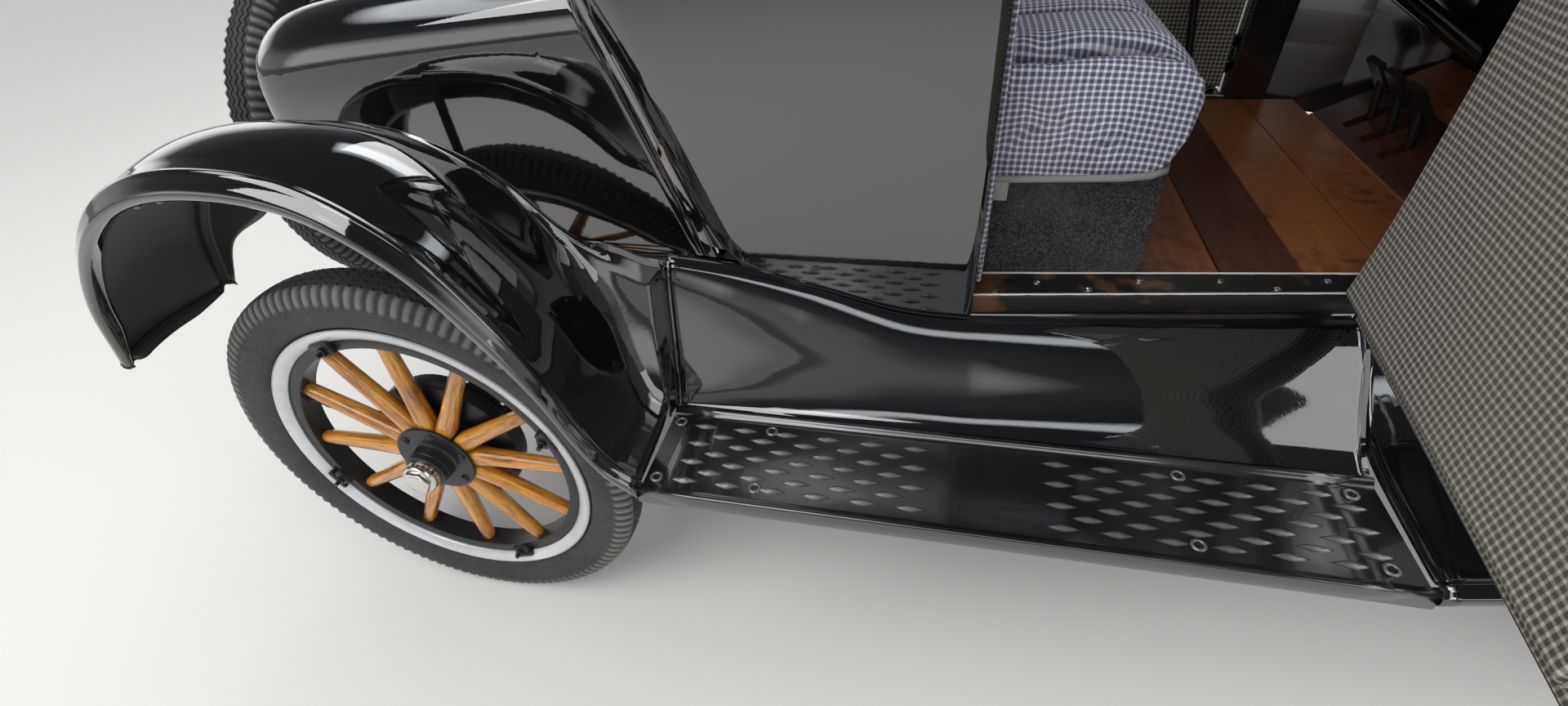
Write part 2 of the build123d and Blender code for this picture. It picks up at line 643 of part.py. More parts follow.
def door_leaf():
    """The left door shut: its skin laps over the threshold, and its window is cut."""
    front, rear = HINGE_X, JAMB_X + DOOR_GAP
    low, high = BODY_BOTTOM + 5, 1764
    heights = [low] + [z for z, _ in TUCK if low < z < high] + [high]
    rings = []
    for z in heights:
        plan = [(front, skin(front, z)), (rear, skin(rear, z)), (rear, skin(rear, z) - WALL),
                (front, skin(front, z) - WALL)]
        rings.append([(x, y, z) for x, y in plan])
    rebate_top = SILL_TOP + DOOR_GAP
    rebate = []
    for z in (low - 10, rebate_top):
        plan = [(front + 20, skin(front + 20, z) - DOOR_LAP), (rear - 20, skin(rear, z) - DOOR_LAP),
                (rear - 20, 380), (front + 20, 380)]
        rebate.append([(x, y, z) for x, y in plan])
    low_x, high_x, bottom, top = DOOR_WINDOW
    window = block((low_x, high_x), (300, 700), (bottom, top))
    return ruled(rings) - ruled(rebate) - window


DOOR_WINDOW = (-272, 198, 1240, 1712)
HINGE_HEIGHTS = (760, 1110, 1560)


def hinge_axis():
    """Where the left door's hinge pins stand, just outside the skin."""
    x = HINGE_X - DOOR_GAP
    return x, skin(x, 1000) + HINGE_OUT


def door(side):
    """A door with its hinge knuckles and handle; the right one stands open."""
    x, y = hinge_axis()
    parts = [door_leaf()]
    for z in HINGE_HEIGHTS:
        skin_y = skin(x, z)
        parts += [Pos(x, y, z) * Cylinder(8, 30), block((x - 34, x), (skin_y - 6, y), (z - 15, z + 15))]
    handle_x = JAMB_X + 50
    handle_y = skin(handle_x, 1130)
    parts += [rod((handle_x, handle_y - 10, 1130), (handle_x, handle_y + 38, 1130), 9),
              rod((handle_x - 8, handle_y + 36, 1130), (handle_x + 85, handle_y + 30, 1130), 8)]
    whole = fuse(parts)
    if side > 0:
        return whole
    return swing(mirrored(whole))


def swing(shape):
    """A right-hand door piece turned from shut to open."""
    x, y = hinge_axis()
    return shape.rotate(Axis((x, -y, 0), (0, 0, 1)), DOOR_OPEN)


def door_pane():
    """The left door's window glass."""
    low_x, high_x, bottom, top = DOOR_WINDOW
    y0, y1 = skin(low_x, 1450), skin(high_x, 1450)
    plan = [(low_x, y0 - 16), (high_x, y1 - 16), (high_x, y1 - 22), (low_x, y0 - 22)]
    lean = skin(0, bottom) - skin(0, top)
    rings = [[(x, y + lean / 2, bottom) for x, y in plan], [(x, y - lean / 2, top) for x, y in plan]]
    return ruled(rings)


def hinge_posts():
    """The pillar's halves of the door hinges, with their pins, for one side."""
    x, y = hinge_axis()
    posts = []
    for z in HINGE_HEIGHTS:
        pillar_x = HINGE_X + DOOR_GAP
        for low in (z - 43, z + 17):
            posts.append(Pos(x, y, low + 13) * Cylinder(8, 26)
                         + block((x, pillar_x + 22), (y - 5, y + 3), (low, low + 26))
                         + block((pillar_x, pillar_x + 22), (skin(pillar_x, z) - 8, y + 3), (low, low + 26)))
    return posts


ROOF_SHEET = 32
# Roof stations: x, half-width, height of its edge, rise of its middle
ROOF = [(385, 452, 1790, 62), (HINGE_X, skin(HINGE_X, WALL_TOP) + 8, 1797, 92),
        (JAMB_X, skin(JAMB_X, WALL_TOP) + 8, WALL_TOP, 110),
        (-700, skin(JAMB_X, WALL_TOP) + 8, WALL_TOP, 104),
        (-860, 500, WALL_TOP, 76), (-935, 452, WALL_TOP, 34)]


def dome(x, width, edge, rise, foot):
    """The roof's section at x, from its foot on one side over to the other."""
    half = [(width, foot), (width, edge + 0.3 * rise), (width - 42, edge + 0.62 * rise),
            (width * 0.6, edge + 0.92 * rise)]
    return [(x, -y, z) for y, z in half] + [(x, 0, edge + rise)] + [(x, y, z) for y, z in half[::-1]]


def roof():
    """The domed top, hollow between its cant rails and behind its front rail."""
    outside = ruled([dome(x, width, edge, rise, edge) for x, width, edge, rise in ROOF])
    inside = []
    for x in (SCREEN_X - 5, HINGE_X, JAMB_X, -700, -872):
        width, edge, rise = (blend([(row[0], row[i]) for row in ROOF], x) for i in (1, 2, 3))
        inside.append(dome(x, width - WALL, edge, rise - ROOF_SHEET, edge - 20))
    rails = []
    for side in (1, -1):
        outer = [(x, skin(x, WALL_TOP)) for x in (JAMB_X, PILLAR_FRONT)]
        inner = [(x, skin(x, WALL_TOP) - WALL) for x in (HINGE_X, JAMB_X)]
        plan = outer + [(PILLAR_FRONT, PILLAR_IN)] + inner
        rails.append(prism([(x, side * y) for x, y in plan], "z", CANT_BOTTOM, WALL_TOP + 1))
    header = block((SCREEN_X - 5, PILLAR_FRONT), (-PILLAR_IN - 4, PILLAR_IN + 4), (SCREEN["top"], WALL_TOP))
    return fuse([outside - ruled(inside), header] + rails)


SCREEN_X = 305
SCREEN = {"half": PILLAR_IN - 2, "bottom": 1203, "split": 1530, "top": 1788, "bar": 20, "depth": 22}


def windscreen():
    """The two sashes of the windscreen, one above the other, and the sun visor over them."""
    s = SCREEN
    frames = []
    for low, high in ((s["bottom"], s["split"] - 0.2), (s["split"] + 0.2, s["top"])):
        outer = block((SCREEN_X, SCREEN_X + s["depth"]), (-s["half"], s["half"]), (low, high))
        inner = block((SCREEN_X - 5, SCREEN_X + s["depth"] + 5),
                      (-s["half"] + s["bar"], s["half"] - s["bar"]), (low + s["bar"], high - s["bar"]))
        frames.append(outer - inner)
    leaf = prism([(385, 1792), (385, 1786), (505, 1728), (508, 1733)], "y", -446, 446)
    stay = prism([(PILLAR_FRONT, 1700), (PILLAR_FRONT, 1688), (486, 1735), (478, 1743)], "y", 434, 440)
    return frames + [fuse([leaf, stay, mirrored(stay)])]


def panes():
    """The fixed glass: two in the windscreen, one in each quarter and one in the back."""
    s = SCREEN
    glass, middle = [], SCREEN_X + s["depth"] / 2
    for low, high in ((s["bottom"], s["split"] - 0.2), (s["split"] + 0.2, s["top"])):
        glass.append(block((middle - 3, middle + 3), (-s["half"] + s["bar"], s["half"] - s["bar"]),
                           (low + s["bar"], high - s["bar"])))
    low, high, bottom, top = QUARTER_WINDOW
    y = skin(JAMB_X, (bottom + top) / 2) - 20
    glass += pair(block((low, high), (y - 3, y + 3), (bottom, top)))
    low, high, bottom, top = REAR_WINDOW
    x = blend(CAB_REAR, (bottom + top) / 2) + 18
    return glass + [block((x - 3, x + 3), (low, high), (bottom, top))]


DECK_BOTTOM = 665
# Deck stations: x, half-width, top, bottom
DECK = [(-755, 480, 1172, DECK_BOTTOM), (-1200, 476, 1130, DECK_BOTTOM), (-1430, 468, 1102, DECK_BOTTOM),
        (-1530, 455, 1076, 672), (-1580, 430, 1038, 690), (-1603, 385, 975, 725)]


def deck_block(inset):
    """The deck's full form, set in by a wall."""
    rings = []
    for x, width, top, bottom in DECK:
        w, t, b = width - inset, top - inset, bottom + inset
        half = [(w - 26, b), (w - 8, b + 60), (w, b + 0.45 * (t - b)), (w - 2, t - 95), (w - 22, t - 42),
                (w - 85, t - 8)]
        rings.append([(x + inset, y, z) for y, z in half] + [(x + inset, 0, t)]
                     + [(x + inset, -y, z) for y, z in half[::-1]])
    return ruled(rings)


def deck_shell():
    """The deck's walls, closed in front by the cab."""
    return deck_block(0) - cab_block(0, 300) - deck_block(DECK_WALL)


def lid_prism(gap, rear_gap):
    """The upright block that cuts the lid from the deck."""
    half = LID_HALF_WIDTH + gap
    return block((LID_REAR - rear_gap, LID_FRONT + gap), (-half, half), (1010, 1300))


# The lid's hinges: the pin's line, and the barrels' ends
LID_HINGE = (LID_FRONT + 3, blend([(row[0], row[2]) for row in DECK], LID_FRONT) + 1)
LID_BARREL = (190, 250)
LID_PIN_RADIUS = 3


def across(y0, y1, radius):
    """A round bar on the lid's hinge line."""
    x, z = LID_HINGE
    return rod((x, y0, z), (x, y1, z), radius)


def deck():
    """The rear deck with the opening for its lid, and the pins that the lid turns on."""
    low, high = LID_BARREL
    shell = deck_shell() - lid_prism(LID_GAP, LID_REAR_GAP)
    for one in pair(across(low - 2, high + 2, 10)):
        shell = shell - one
    lugs = [across(low - 16, low - 2, 8), across(high + 2, high + 16, 8)]
    pin = across(low - 16, high + 16, LID_PIN_RADIUS)
    clear = lid_prism(0, 0)
    lugs = [lug - clear for lug in lugs]
    return fuse([shell] + [part for lug in lugs + [pin] for part in pair(lug)])


def deck_lid():
    """The lid, with the handle that lifts its rear edge."""
    lid = deck_shell() & lid_prism(0, 0)
    grip = rod((LID_REAR + 60, 0, 1095), (LID_REAR + 60, 0, 1122), 8)
    bar = rod((LID_REAR + 60, -48, 1120), (LID_REAR + 60, 48, 1120), 9)
    low, high = LID_BARREL
    whole = fuse([lid, grip, bar] + pair(across(low, high, 8)))
    for bore in pair(across(low - 1, high + 1, LID_PIN_RADIUS + RUNNING_FIT)) + pair(lug_room()):
        whole = whole - bore
    return whole


def lug_room():
    """The air round the deck's lugs on one side, which the lid's edge leaves free."""
    low, high = LID_BARREL
    return across(low - 18, low, 11) + across(high, high + 18, 11)


# How a fender's section runs from its outer edge inwards:
# share of the width, share of the crown, share of the rise to the inner edge
ACROSS = [(0.00, 0.00, 0.00), (0.05, 0.38, 0.00), (0.09, 0.34, 0.00), (0.22, 0.74, 0.01), (0.40, 0.98, 0.03),
          (0.58, 0.95, 0.07), (0.74, 0.70, 0.20), (0.88, 0.36, 0.55), (1.00, 0.00, 1.00)]
# Fender stations: ahead of the axle, above the hub, lean of the section, rise, crown, inner edge, inner skirt
REAR_FENDER = [
    (-400, 270, 146, 22, 20, 600, 24), (-360, 392, 132, 14, 28, 600, 62), (-272, 500, 118, 6, 32, 600, 92),
    (-152, 569, 105, -2, 34, 600, 72), (-20, 589, 92, -8, 36, 600, 46), (121, 570, 78, -2, 36, 600, 30),
    (232, 497, 66, 20, 34, 600, 24), (308, 394, 65, 40, 28, 600, 16), (356, 307, 78, 93, 16, 598, -6),
    (392, 214, 84.6, 169, 6, 592, -8), (426, 151, 87.3, 216, 2, 588, -8), (467, 115, 90, 246, 0, 586, -8)]
FRONT_FENDER = [
    (420, 214, 30, 14, 18, 600, 24), (375, 340, 46, 8, 28, 596, 40), (290, 445, 60, 0, 34, 592, 52),
    (160, 518, 75, -4, 36, 590, 60), (0, 548, 92, -6, 36, 590, 64), (-160, 535, 108, -4, 36, 590, 64),
    (-330, 470, 120, 0, 34, 588, 60), (-500, 375, 126, 4, 30, 580, 52), (-680, 262, 122, 24, 22, 560, 40),
    (-860, 168, 108, 80, 12, 520, 30), (-1035, 115, 90, 142, 0, 470, 16)]


def fender(axle_x, table):
    """One left fender: a crowned sheet from its free end to the running board."""
    rings = []
    for ahead, above, lean, rise, crown, inner, skirt in table:
        a = radians(lean)
        width = FENDER_OUT - inner
        path = [(FENDER_OUT - 2, -14)]
        path += [(FENDER_OUT - u * width, crown * c + rise * s) for u, c, s in ACROSS]
        path += [(inner - 2, rise - skirt)]
        outline = strip(path, SHEET)
        rings.append([(axle_x + ahead + h * cos(a), y, HUB_Z + above + h * sin(a)) for y, h in outline])
    return ruled(rings)


def running_board():
    """One left running board: a ribbed tread plate with a deep outer lip."""
    top, low = BOARD_TOP, BOARD_TOP - 6
    section = [(BOARD_IN, low - 12), (BOARD_IN, top + 8), (BOARD_IN + 10, top + 8), (BOARD_IN + 15, top),
               (BOARD_OUT - 14, top), (BOARD_OUT - 8, top + 8), (BOARD_OUT, top + 8), (BOARD_OUT, top - 20),
               (BOARD_OUT - 6, top - 20), (BOARD_OUT - 6, low), (BOARD_IN + 6, low), (BOARD_IN + 6, low - 12)]
    return prism(section, "x", BOARD_REAR, BOARD_FRONT)


# The splash apron's section: share of the width out from the body, share of the height
APRON = [(0.00, 1.00), (0.12, 0.97), (0.28, 0.84), (0.46, 0.60), (0.63, 0.34), (0.80, 0.13), (0.93, 0.03),
         (1.00, 0.00)]
APRON_X = (BOARD_REAR, -700, -574, -442, -336, -60, BOARD_FRONT)


def apron():
    """One left splash apron, which closes the space between the body and the board."""
    foot_y, foot_z = BOARD_IN - 2, BOARD_TOP + 6
    rings = []
    for x in APRON_X:
        top_z = blend(HEM, x) - SHEET
        top_y = skin(x, top_z) - 4 + blend([(BOARD_REAR, 36), (-574, 0)], x)
        path = [(top_y - 22, top_z + SHEET)]
        path += [(top_y + u * (foot_y - top_y), foot_z + v * (top_z - foot_z)) for u, v in APRON]
        path += [(foot_y, BOARD_TOP - 18)]
        rings.append([(x, y, z) for y, z in strip(path, -SHEET)])
    return ruled(rings)


def hood_shelf():
    """One left wooden ledge between the frame and the bonnet's side."""
    start, end = FIREWALL_X + FIREWALL, RADIATOR_X
    plan = [(start, along_hood(start)[0] + 4), (end, along_hood(end)[0] + 4), (end, along_hood(end)[0] - 14),
            (start, along_hood(start)[0] - 14)]
    return prism(plan, "z", FRAME_TOP, HOOD_BOTTOM - HOOD_GAP)


def radiator():
    """The radiator: a rounded surround, the core set back in it, and the filler cap."""
    width, top, shoulder = HOOD_STATIONS[1][1:]
    half = arch(width + 4, top + 4, shoulder, FRAME_TOP)
    outline = [(-y, z) for y, z in half] + half[-2::-1]
    body = prism(outline, "x", RADIATOR_X, RADIATOR_X + RADIATOR_DEPTH)
    inner = arch(width - 28, top - 92, 50, FRAME_TOP + 62)
    opening = [(-y, z) for y, z in inner] + inner[-2::-1]
    recess = prism(opening, "x", RADIATOR_X + RADIATOR_DEPTH - 14, RADIATOR_X + RADIATOR_DEPTH + 1)
    middle = RADIATOR_X + RADIATOR_DEPTH / 2
    neck = Pos(middle, 0, top + 14) * Cylinder(24, 30)
    cap = Pos(middle, 0, top + 36) * Cylinder(33, 16)
    return fuse([body - recess, neck, cap])


LAMP = (1330, 365, 975)
# Headlamp bowl: radius, distance forward of its middle
BOWL = [(0, -95), (34, -92), (70, -72), (96, -38), (108, 0), (108, 22), (114, 24), (114, 40), (96, 46),
        (0, 56)]


def lamps():
    """Two headlamps on brackets from the frame, and the tail lamp on the spare's carrier."""
    x, y, z = LAMP
    bowl = turned(BOWL, Pos(x, y, z))
    foot = [(FRONT_X + 12, RAIL_Y - 15, height) for height in (FRAME_TOP, 665)]
    post = bent_rod(foot + [(x - 20, y - 10, 780), (x - 10, y, z - 95)], 12)
    head = fuse([bowl, post])
    tail = turned([(0, -34), (36, -34), (40, -10), (40, 10), (34, 20), (0, 24)],
                  Pos(SPARE_X + 85, 440, 601) * Rot(0, 0, 180))
    arm = rod((SPARE_X + 95, CARRIER_Y + 15, 601), (SPARE_X + 95, 440, 601), 8)
    return pair(head) + [fuse([tail, arm])]


CARRIER_Y = 120


def spare_carrier():
    """The spare's bare rim and the two uprights that hold it behind the deck."""
    rim = turned(BARE_RIM, Pos(SPARE_X, 0, SPARE_Z))
    reach = (290 ** 2 - CARRIER_Y ** 2) ** 0.5
    parts = [rim]
    for side in (1, -1):
        y = side * CARRIER_Y
        parts += [block((SPARE_X - 8, SPARE_X + 8), (y - 15, y + 15), (SPARE_Z - reach, SPARE_Z + reach)),
                  block((SPARE_X, REAR_X - 28), (y - 15, y + 15), (590, 612))]
    return fuse(parts)


def main():
    os.makedirs("parts", exist_ok=True)
    wheels()
    save("frame", [frame()])
    save("springs", [leaf_spring(REAR_X, **REAR_SPRING), leaf_spring(FRONT_X, **FRONT_SPRING)])
    save("rear_axle", [rear_axle()])
    save("front_axle", [front_axle()])
    save("left_knuckle", [knuckle(1)])
    save("right_knuckle", [knuckle(-1)])
    save("tie_rod", [tie_rod()])
    save("column_arm", [column_arm()])
    save("steering_column", [steering_column()])
    save("steering_wheel", [steering_wheel()])
    save("engine", [engine()])
    save("radiator", [radiator()])
    save("left_hood", [hood_half(1)])
    save("right_hood", [hood_half(-1)])
    save("cowl", [cowl()])
    save("cab", [cab()])
    save("sills", sills())
    save("floor", [floor()])
    save("controls", controls())
    save("seat_base", [seat_base()])
    save("seat_cushion", [seat_cushion()])
    save("seat_back", [seat_back()])
    save("left_door", [door(1)])
    save("right_door", [door(-1)])
    save("left_door_glass", [door_pane()])
    save("right_door_glass", [swing(mirrored(door_pane()))])
    save("roof", [roof()])
    save("windscreen", windscreen())
    save("glass", panes())
    save("deck", [deck()])
    save("deck_lid", [deck_lid()])
    save("fenders", pair(fender(REAR_X, REAR_FENDER)) + pair(fender(FRONT_X, FRONT_FENDER)))
    save("running_boards", pair(running_board()))
    save("aprons", pair(apron()) + pair(hood_shelf()))
    save("lamps", lamps())
    save("spare_tyre", [turned(TYRE, Pos(SPARE_X, 0, SPARE_Z))])
    save("spare_carrier", [spare_carrier()])


main()
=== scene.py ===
import bpy
import bmesh
import json
from bisect import bisect_right
from math import atan2, cos, hypot, pi, radians, sin, tau
from mathutils import Matrix, Vector

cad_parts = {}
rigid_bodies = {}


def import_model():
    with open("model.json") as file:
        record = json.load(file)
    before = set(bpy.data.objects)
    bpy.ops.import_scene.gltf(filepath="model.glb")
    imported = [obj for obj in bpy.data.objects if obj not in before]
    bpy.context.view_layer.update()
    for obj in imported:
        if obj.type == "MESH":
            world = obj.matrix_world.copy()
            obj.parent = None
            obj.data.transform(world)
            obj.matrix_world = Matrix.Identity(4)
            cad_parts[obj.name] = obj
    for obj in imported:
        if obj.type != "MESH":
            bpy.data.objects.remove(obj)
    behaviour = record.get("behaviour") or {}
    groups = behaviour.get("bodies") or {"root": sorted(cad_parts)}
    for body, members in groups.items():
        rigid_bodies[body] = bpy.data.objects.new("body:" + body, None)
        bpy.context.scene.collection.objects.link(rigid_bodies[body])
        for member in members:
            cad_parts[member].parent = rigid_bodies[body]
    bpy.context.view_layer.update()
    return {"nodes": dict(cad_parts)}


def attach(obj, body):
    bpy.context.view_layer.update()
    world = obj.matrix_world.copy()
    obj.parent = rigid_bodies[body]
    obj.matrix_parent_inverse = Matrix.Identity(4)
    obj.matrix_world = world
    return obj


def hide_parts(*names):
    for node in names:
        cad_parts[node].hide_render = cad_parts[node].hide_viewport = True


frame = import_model()
nodes = frame["nodes"]
scene = bpy.context.scene
print("frame loaded:", len(nodes), "nodes")

# camera, as the photograph was taken

view = {
    "place": (-0.39467, -1.41962, 1.29422),
    "right": (0.97556, 0.2096, -0.06589),
    "down": (0.08208, -0.62587, -0.7756),
    "forward": (-0.20381, 0.75124, -0.62778),
    "focal": 825.36,       # in pixels of a picture 1920 wide
    "pictureWidth": 1920,
    "sensor": 36.0,
}
lens = bpy.data.cameras.new("camera")
lens.sensor_fit = "HORIZONTAL"
lens.sensor_width = view["sensor"]
lens.lens = view["focal"] * view["sensor"] / view["pictureWidth"]
lens.clip_start = 0.02
camera = bpy.data.objects.new("camera", lens)
scene.collection.objects.link(camera)
axes = [Vector(view["right"]), -Vector(view["down"]), -Vector(view["forward"])]
camera.matrix_world = Matrix.Translation(view["place"]) @ Matrix(axes).transposed().to_4x4()
scene.camera = camera
scene.view_settings.view_transform = "Standard"


# a small language for shader nodes

class Flow:
    def __init__(self, finish, socket):
        self.finish, self.socket = finish, socket

    def __add__(self, other):
        return self.finish.maths("ADD", self, other)

    def __radd__(self, other):
        return self.finish.maths("ADD", other, self)

    def __sub__(self, other):
        return self.finish.maths("SUBTRACT", self, other)

    def __rsub__(self, other):
        return self.finish.maths("SUBTRACT", other, self)

    def __mul__(self, other):
        return self.finish.maths("MULTIPLY", self, other)

    def __rmul__(self, other):
        return self.finish.maths("MULTIPLY", other, self)

    def __pow__(self, other):
        return self.finish.maths("POWER", self, other)


class Finish:
    def __init__(self, name, **constants):
        self.material = bpy.data.materials.new(name)
        self.material.use_nodes = True
        self.tree = self.material.node_tree
        self.shader = self.tree.nodes["Principled BSDF"]
        for socket, value in constants.items():
            self.shader.inputs[socket.replace("_", " ")].default_value = value

    def node(self, kind, settings=None, sockets=None, out=0):
        made = self.tree.nodes.new(kind)
        for key, value in (settings or {}).items():
            if key == "stops":
                stops = made.color_ramp.elements
                while len(stops) < len(value):
                    stops.new(1.0)
                for stop, (position, colour) in zip(stops, value):
                    stop.position, stop.color = position, (*colour, 1)
            else:
                setattr(made, key, value)
        for key, value in (sockets or {}).items():
            self.feed(made.inputs[key], value)
        return Flow(self, made.outputs[out]) if made.outputs else None

    def feed(self, socket, value):
        if isinstance(value, Flow):
            self.tree.links.new(value.socket, socket)
        elif socket.type == "RGBA":
            socket.default_value = (*value, 1)
        else:
            socket.default_value = value

    def put(self, **values):
        for socket, value in values.items():
            self.feed(self.shader.inputs[socket.replace("_", " ")], value)

    def maths(self, operation, first, second=0.0, clamp=False):
        return self.node("ShaderNodeMath", {"operation": operation, "use_clamp": clamp},
                         {0: first, 1: second})

    def place(self, scale=(1, 1, 1), turn=(0, 0, 0), attribute=None):
        if attribute:
            start = self.node("ShaderNodeAttribute", {"attribute_name": attribute}, out="Vector")
        else:
            start = self.node("ShaderNodeTexCoord", out="Object")
        return self.node("ShaderNodeMapping", None, {"Vector": start, "Scale": scale, "Rotation": turn})

    def axis(self, vector, index):
        return self.node("ShaderNodeSeparateXYZ", None, {0: vector}, out=index)

    def noise(self, vector, scale, detail=3.0, roughness=0.5, distortion=0.0):
        return self.node("ShaderNodeTexNoise", None, {"Vector": vector, "Scale": scale, "Detail": detail,
                                                     "Roughness": roughness, "Distortion": distortion})

    def cells(self, vector, scale, feature="F1", randomness=1.0):
        return self.node("ShaderNodeTexVoronoi", {"feature": feature},
                         {"Vector": vector, "Scale": scale, "Randomness": randomness})

    def between(self, value, low, high):
        return self.node("ShaderNodeMapRange", {"clamp": True},
                         {"Value": value, "From Min": low, "From Max": high})

    def mix(self, factor, first, second, kind="MIX"):
        return self.node("ShaderNodeMix", {"data_type": "RGBA", "blend_type": kind},
                         {0: factor, 6: first, 7: second}, out=2)

    def number(self, name):
        return self.node("ShaderNodeAttribute", {"attribute_name": name}, out="Fac")

    def relief(self, height, distance, strength=1.0):
        self.put(Normal=self.node("ShaderNodeBump", None,
                                  {"Height": height, "Distance": distance, "Strength": strength}))


def glossPaint(name, base, dust, rough, coat):
    f = Finish(name, IOR=1.95, Coat_Weight=coat, Coat_Roughness=0.02)
    at = f.place()
    cloud = f.noise(at, 2.6, 5.0, 0.6)
    speck = f.between(f.noise(at, 420.0, 2.0, 0.7), 0.70, 0.80)
    film = f.between(cloud, 0.45, 0.8)
    f.put(Base_Color=f.mix(film * 0.25 + speck * 0.35, base, dust),
          Roughness=film * 0.05 + speck * 0.2 + rough)
    f.relief(f.noise(at, 140.0, 2.0, 0.5), 0.00018, 0.22)
    return f.material


def treadPaint():
    # the raised lozenges are painted paler than the board round them: partly rubbed wear, partly a painted
    # highlight
    f = Finish("treadBlack", IOR=1.8, Coat_Weight=0.35, Coat_Roughness=0.12)
    at = f.place()
    height = f.between(f.axis(at, 2), 0.4998, 0.5020)
    rub = f.noise(at, 30.0, 4.0, 0.65)
    fine = f.noise(at, 380.0, 3.0, 0.7)
    # bare is the painted paleness of the raised parts, wear and painted highlight together
    bare = f.between(height * 0.85 + rub * 0.4 + fine * 0.12, 0.45, 1.05)
    f.put(Base_Color=f.mix(bare, (0.010, 0.010, 0.011), (0.20, 0.205, 0.22)), Metallic=bare * 0.5,
          Roughness=rub * 0.15 + 0.22)
    f.relief(fine, 0.0003, 0.3)
    return f.material


def satinMetal(name, base, worn, rough, metallic, grain=90.0, bare=0.66):
    f = Finish(name)
    at = f.place()
    cloud = f.noise(at, 7.0, 6.0, 0.62)
    fine = f.noise(at, grain, 3.0, 0.6)
    mask = f.between(cloud * 0.75 + fine * 0.25, bare, bare + 0.12)
    f.put(Base_Color=f.mix(mask, base, worn), Roughness=fine * 0.18 + mask * 0.15 + rough,
          Metallic=mask * 0.3 + metallic)
    f.relief(fine * 0.6 + cloud * 0.4, 0.0005, 0.35)
    return f.material


def spokeWood():
    f = Finish("spokeWood", Coat_Weight=0.85, Coat_Roughness=0.05, IOR=1.5)
    at = f.place((3.0, 26.0, 26.0), attribute="grain")
    streak = f.noise(at, 3.0, 6.0, 0.65, 0.4)
    pores = f.between(f.noise(f.place((14.0, 210.0, 210.0), attribute="grain"), 2.2, 3.0, 0.6), 0.60, 0.72)
    tone = f.node("ShaderNodeValToRGB", {"stops": [
        (0.32, (0.11, 0.032, 0.006)), (0.42, (0.36, 0.135, 0.017)),
        (0.56, (0.60, 0.255, 0.028)), (0.78, (0.72, 0.365, 0.055))]}, {"Fac": streak})
    knots = f.between(f.noise(f.place((9.0, 30.0, 30.0), attribute="grain"), 1.6, 2.0), 0.64, 0.74)
    dark = f.mix(pores * 0.9, tone, (0.10, 0.028, 0.008))
    f.put(Base_Color=f.mix(knots * 0.55, dark, (0.16, 0.045, 0.012)),
          Roughness=streak * 0.12 + pores * 0.2 + 0.2)
    f.relief(streak * 0.5 - pores, 0.0006, 0.4)
    return f.material


def rimPaint(name, axle=None):
    # pale paint, chipped; round a given axle height only the rim has it, and the bars stay black
    f = Finish(name, Coat_Weight=0.35, Coat_Roughness=0.12)
    at = f.place()
    cloud = f.noise(at, 9.0, 5.0, 0.6)
    chips = f.between(f.noise(at, 70.0, 4.0, 0.7), 0.68, 0.74)
    tone = f.mix(f.between(cloud, 0.35, 0.75), (0.70, 0.72, 0.75), (0.52, 0.54, 0.56))
    if axle:
        across, up = f.axis(at, 1), f.axis(at, 2) - axle
        outside = f.between((across * across + up * up) ** 0.5, 0.272, 0.275)
        tone = f.mix(outside, (0.011, 0.011, 0.012), tone)
    f.put(Base_Color=f.mix(chips * 0.8, tone, (0.13, 0.12, 0.11)),
          Roughness=cloud * 0.25 + chips * 0.3 + 0.18, Metallic=0.35 - chips * 0.3)
    f.relief(f.noise(at, 160.0, 3.0), 0.0003, 0.3)
    return f.material


def tyreRubber():
    f = Finish("tyreRubber", Specular_IOR_Level=0.35)
    at = f.place()
    cloud = f.noise(at, 5.0, 6.0, 0.65)
    fine = f.noise(at, 160.0, 4.0, 0.7)
    rib = f.number("rib")
    dusty = f.mix(f.between(cloud * 0.6 + fine * 0.4, 0.38, 0.66), (0.024, 0.025, 0.027),
                  (0.060, 0.061, 0.061))
    # the raised ribs are painted paler, partly as worn rubber and partly as a painted highlight
    f.put(Base_Color=f.mix(rib * (f.between(cloud, 0.2, 0.6) * 0.5 + 0.5), dusty, (0.185, 0.182, 0.168)),
          Roughness=0.72 - fine * 0.2)
    f.relief(fine * 0.7 + cloud * 0.3, 0.0007, 0.5)
    return f.material


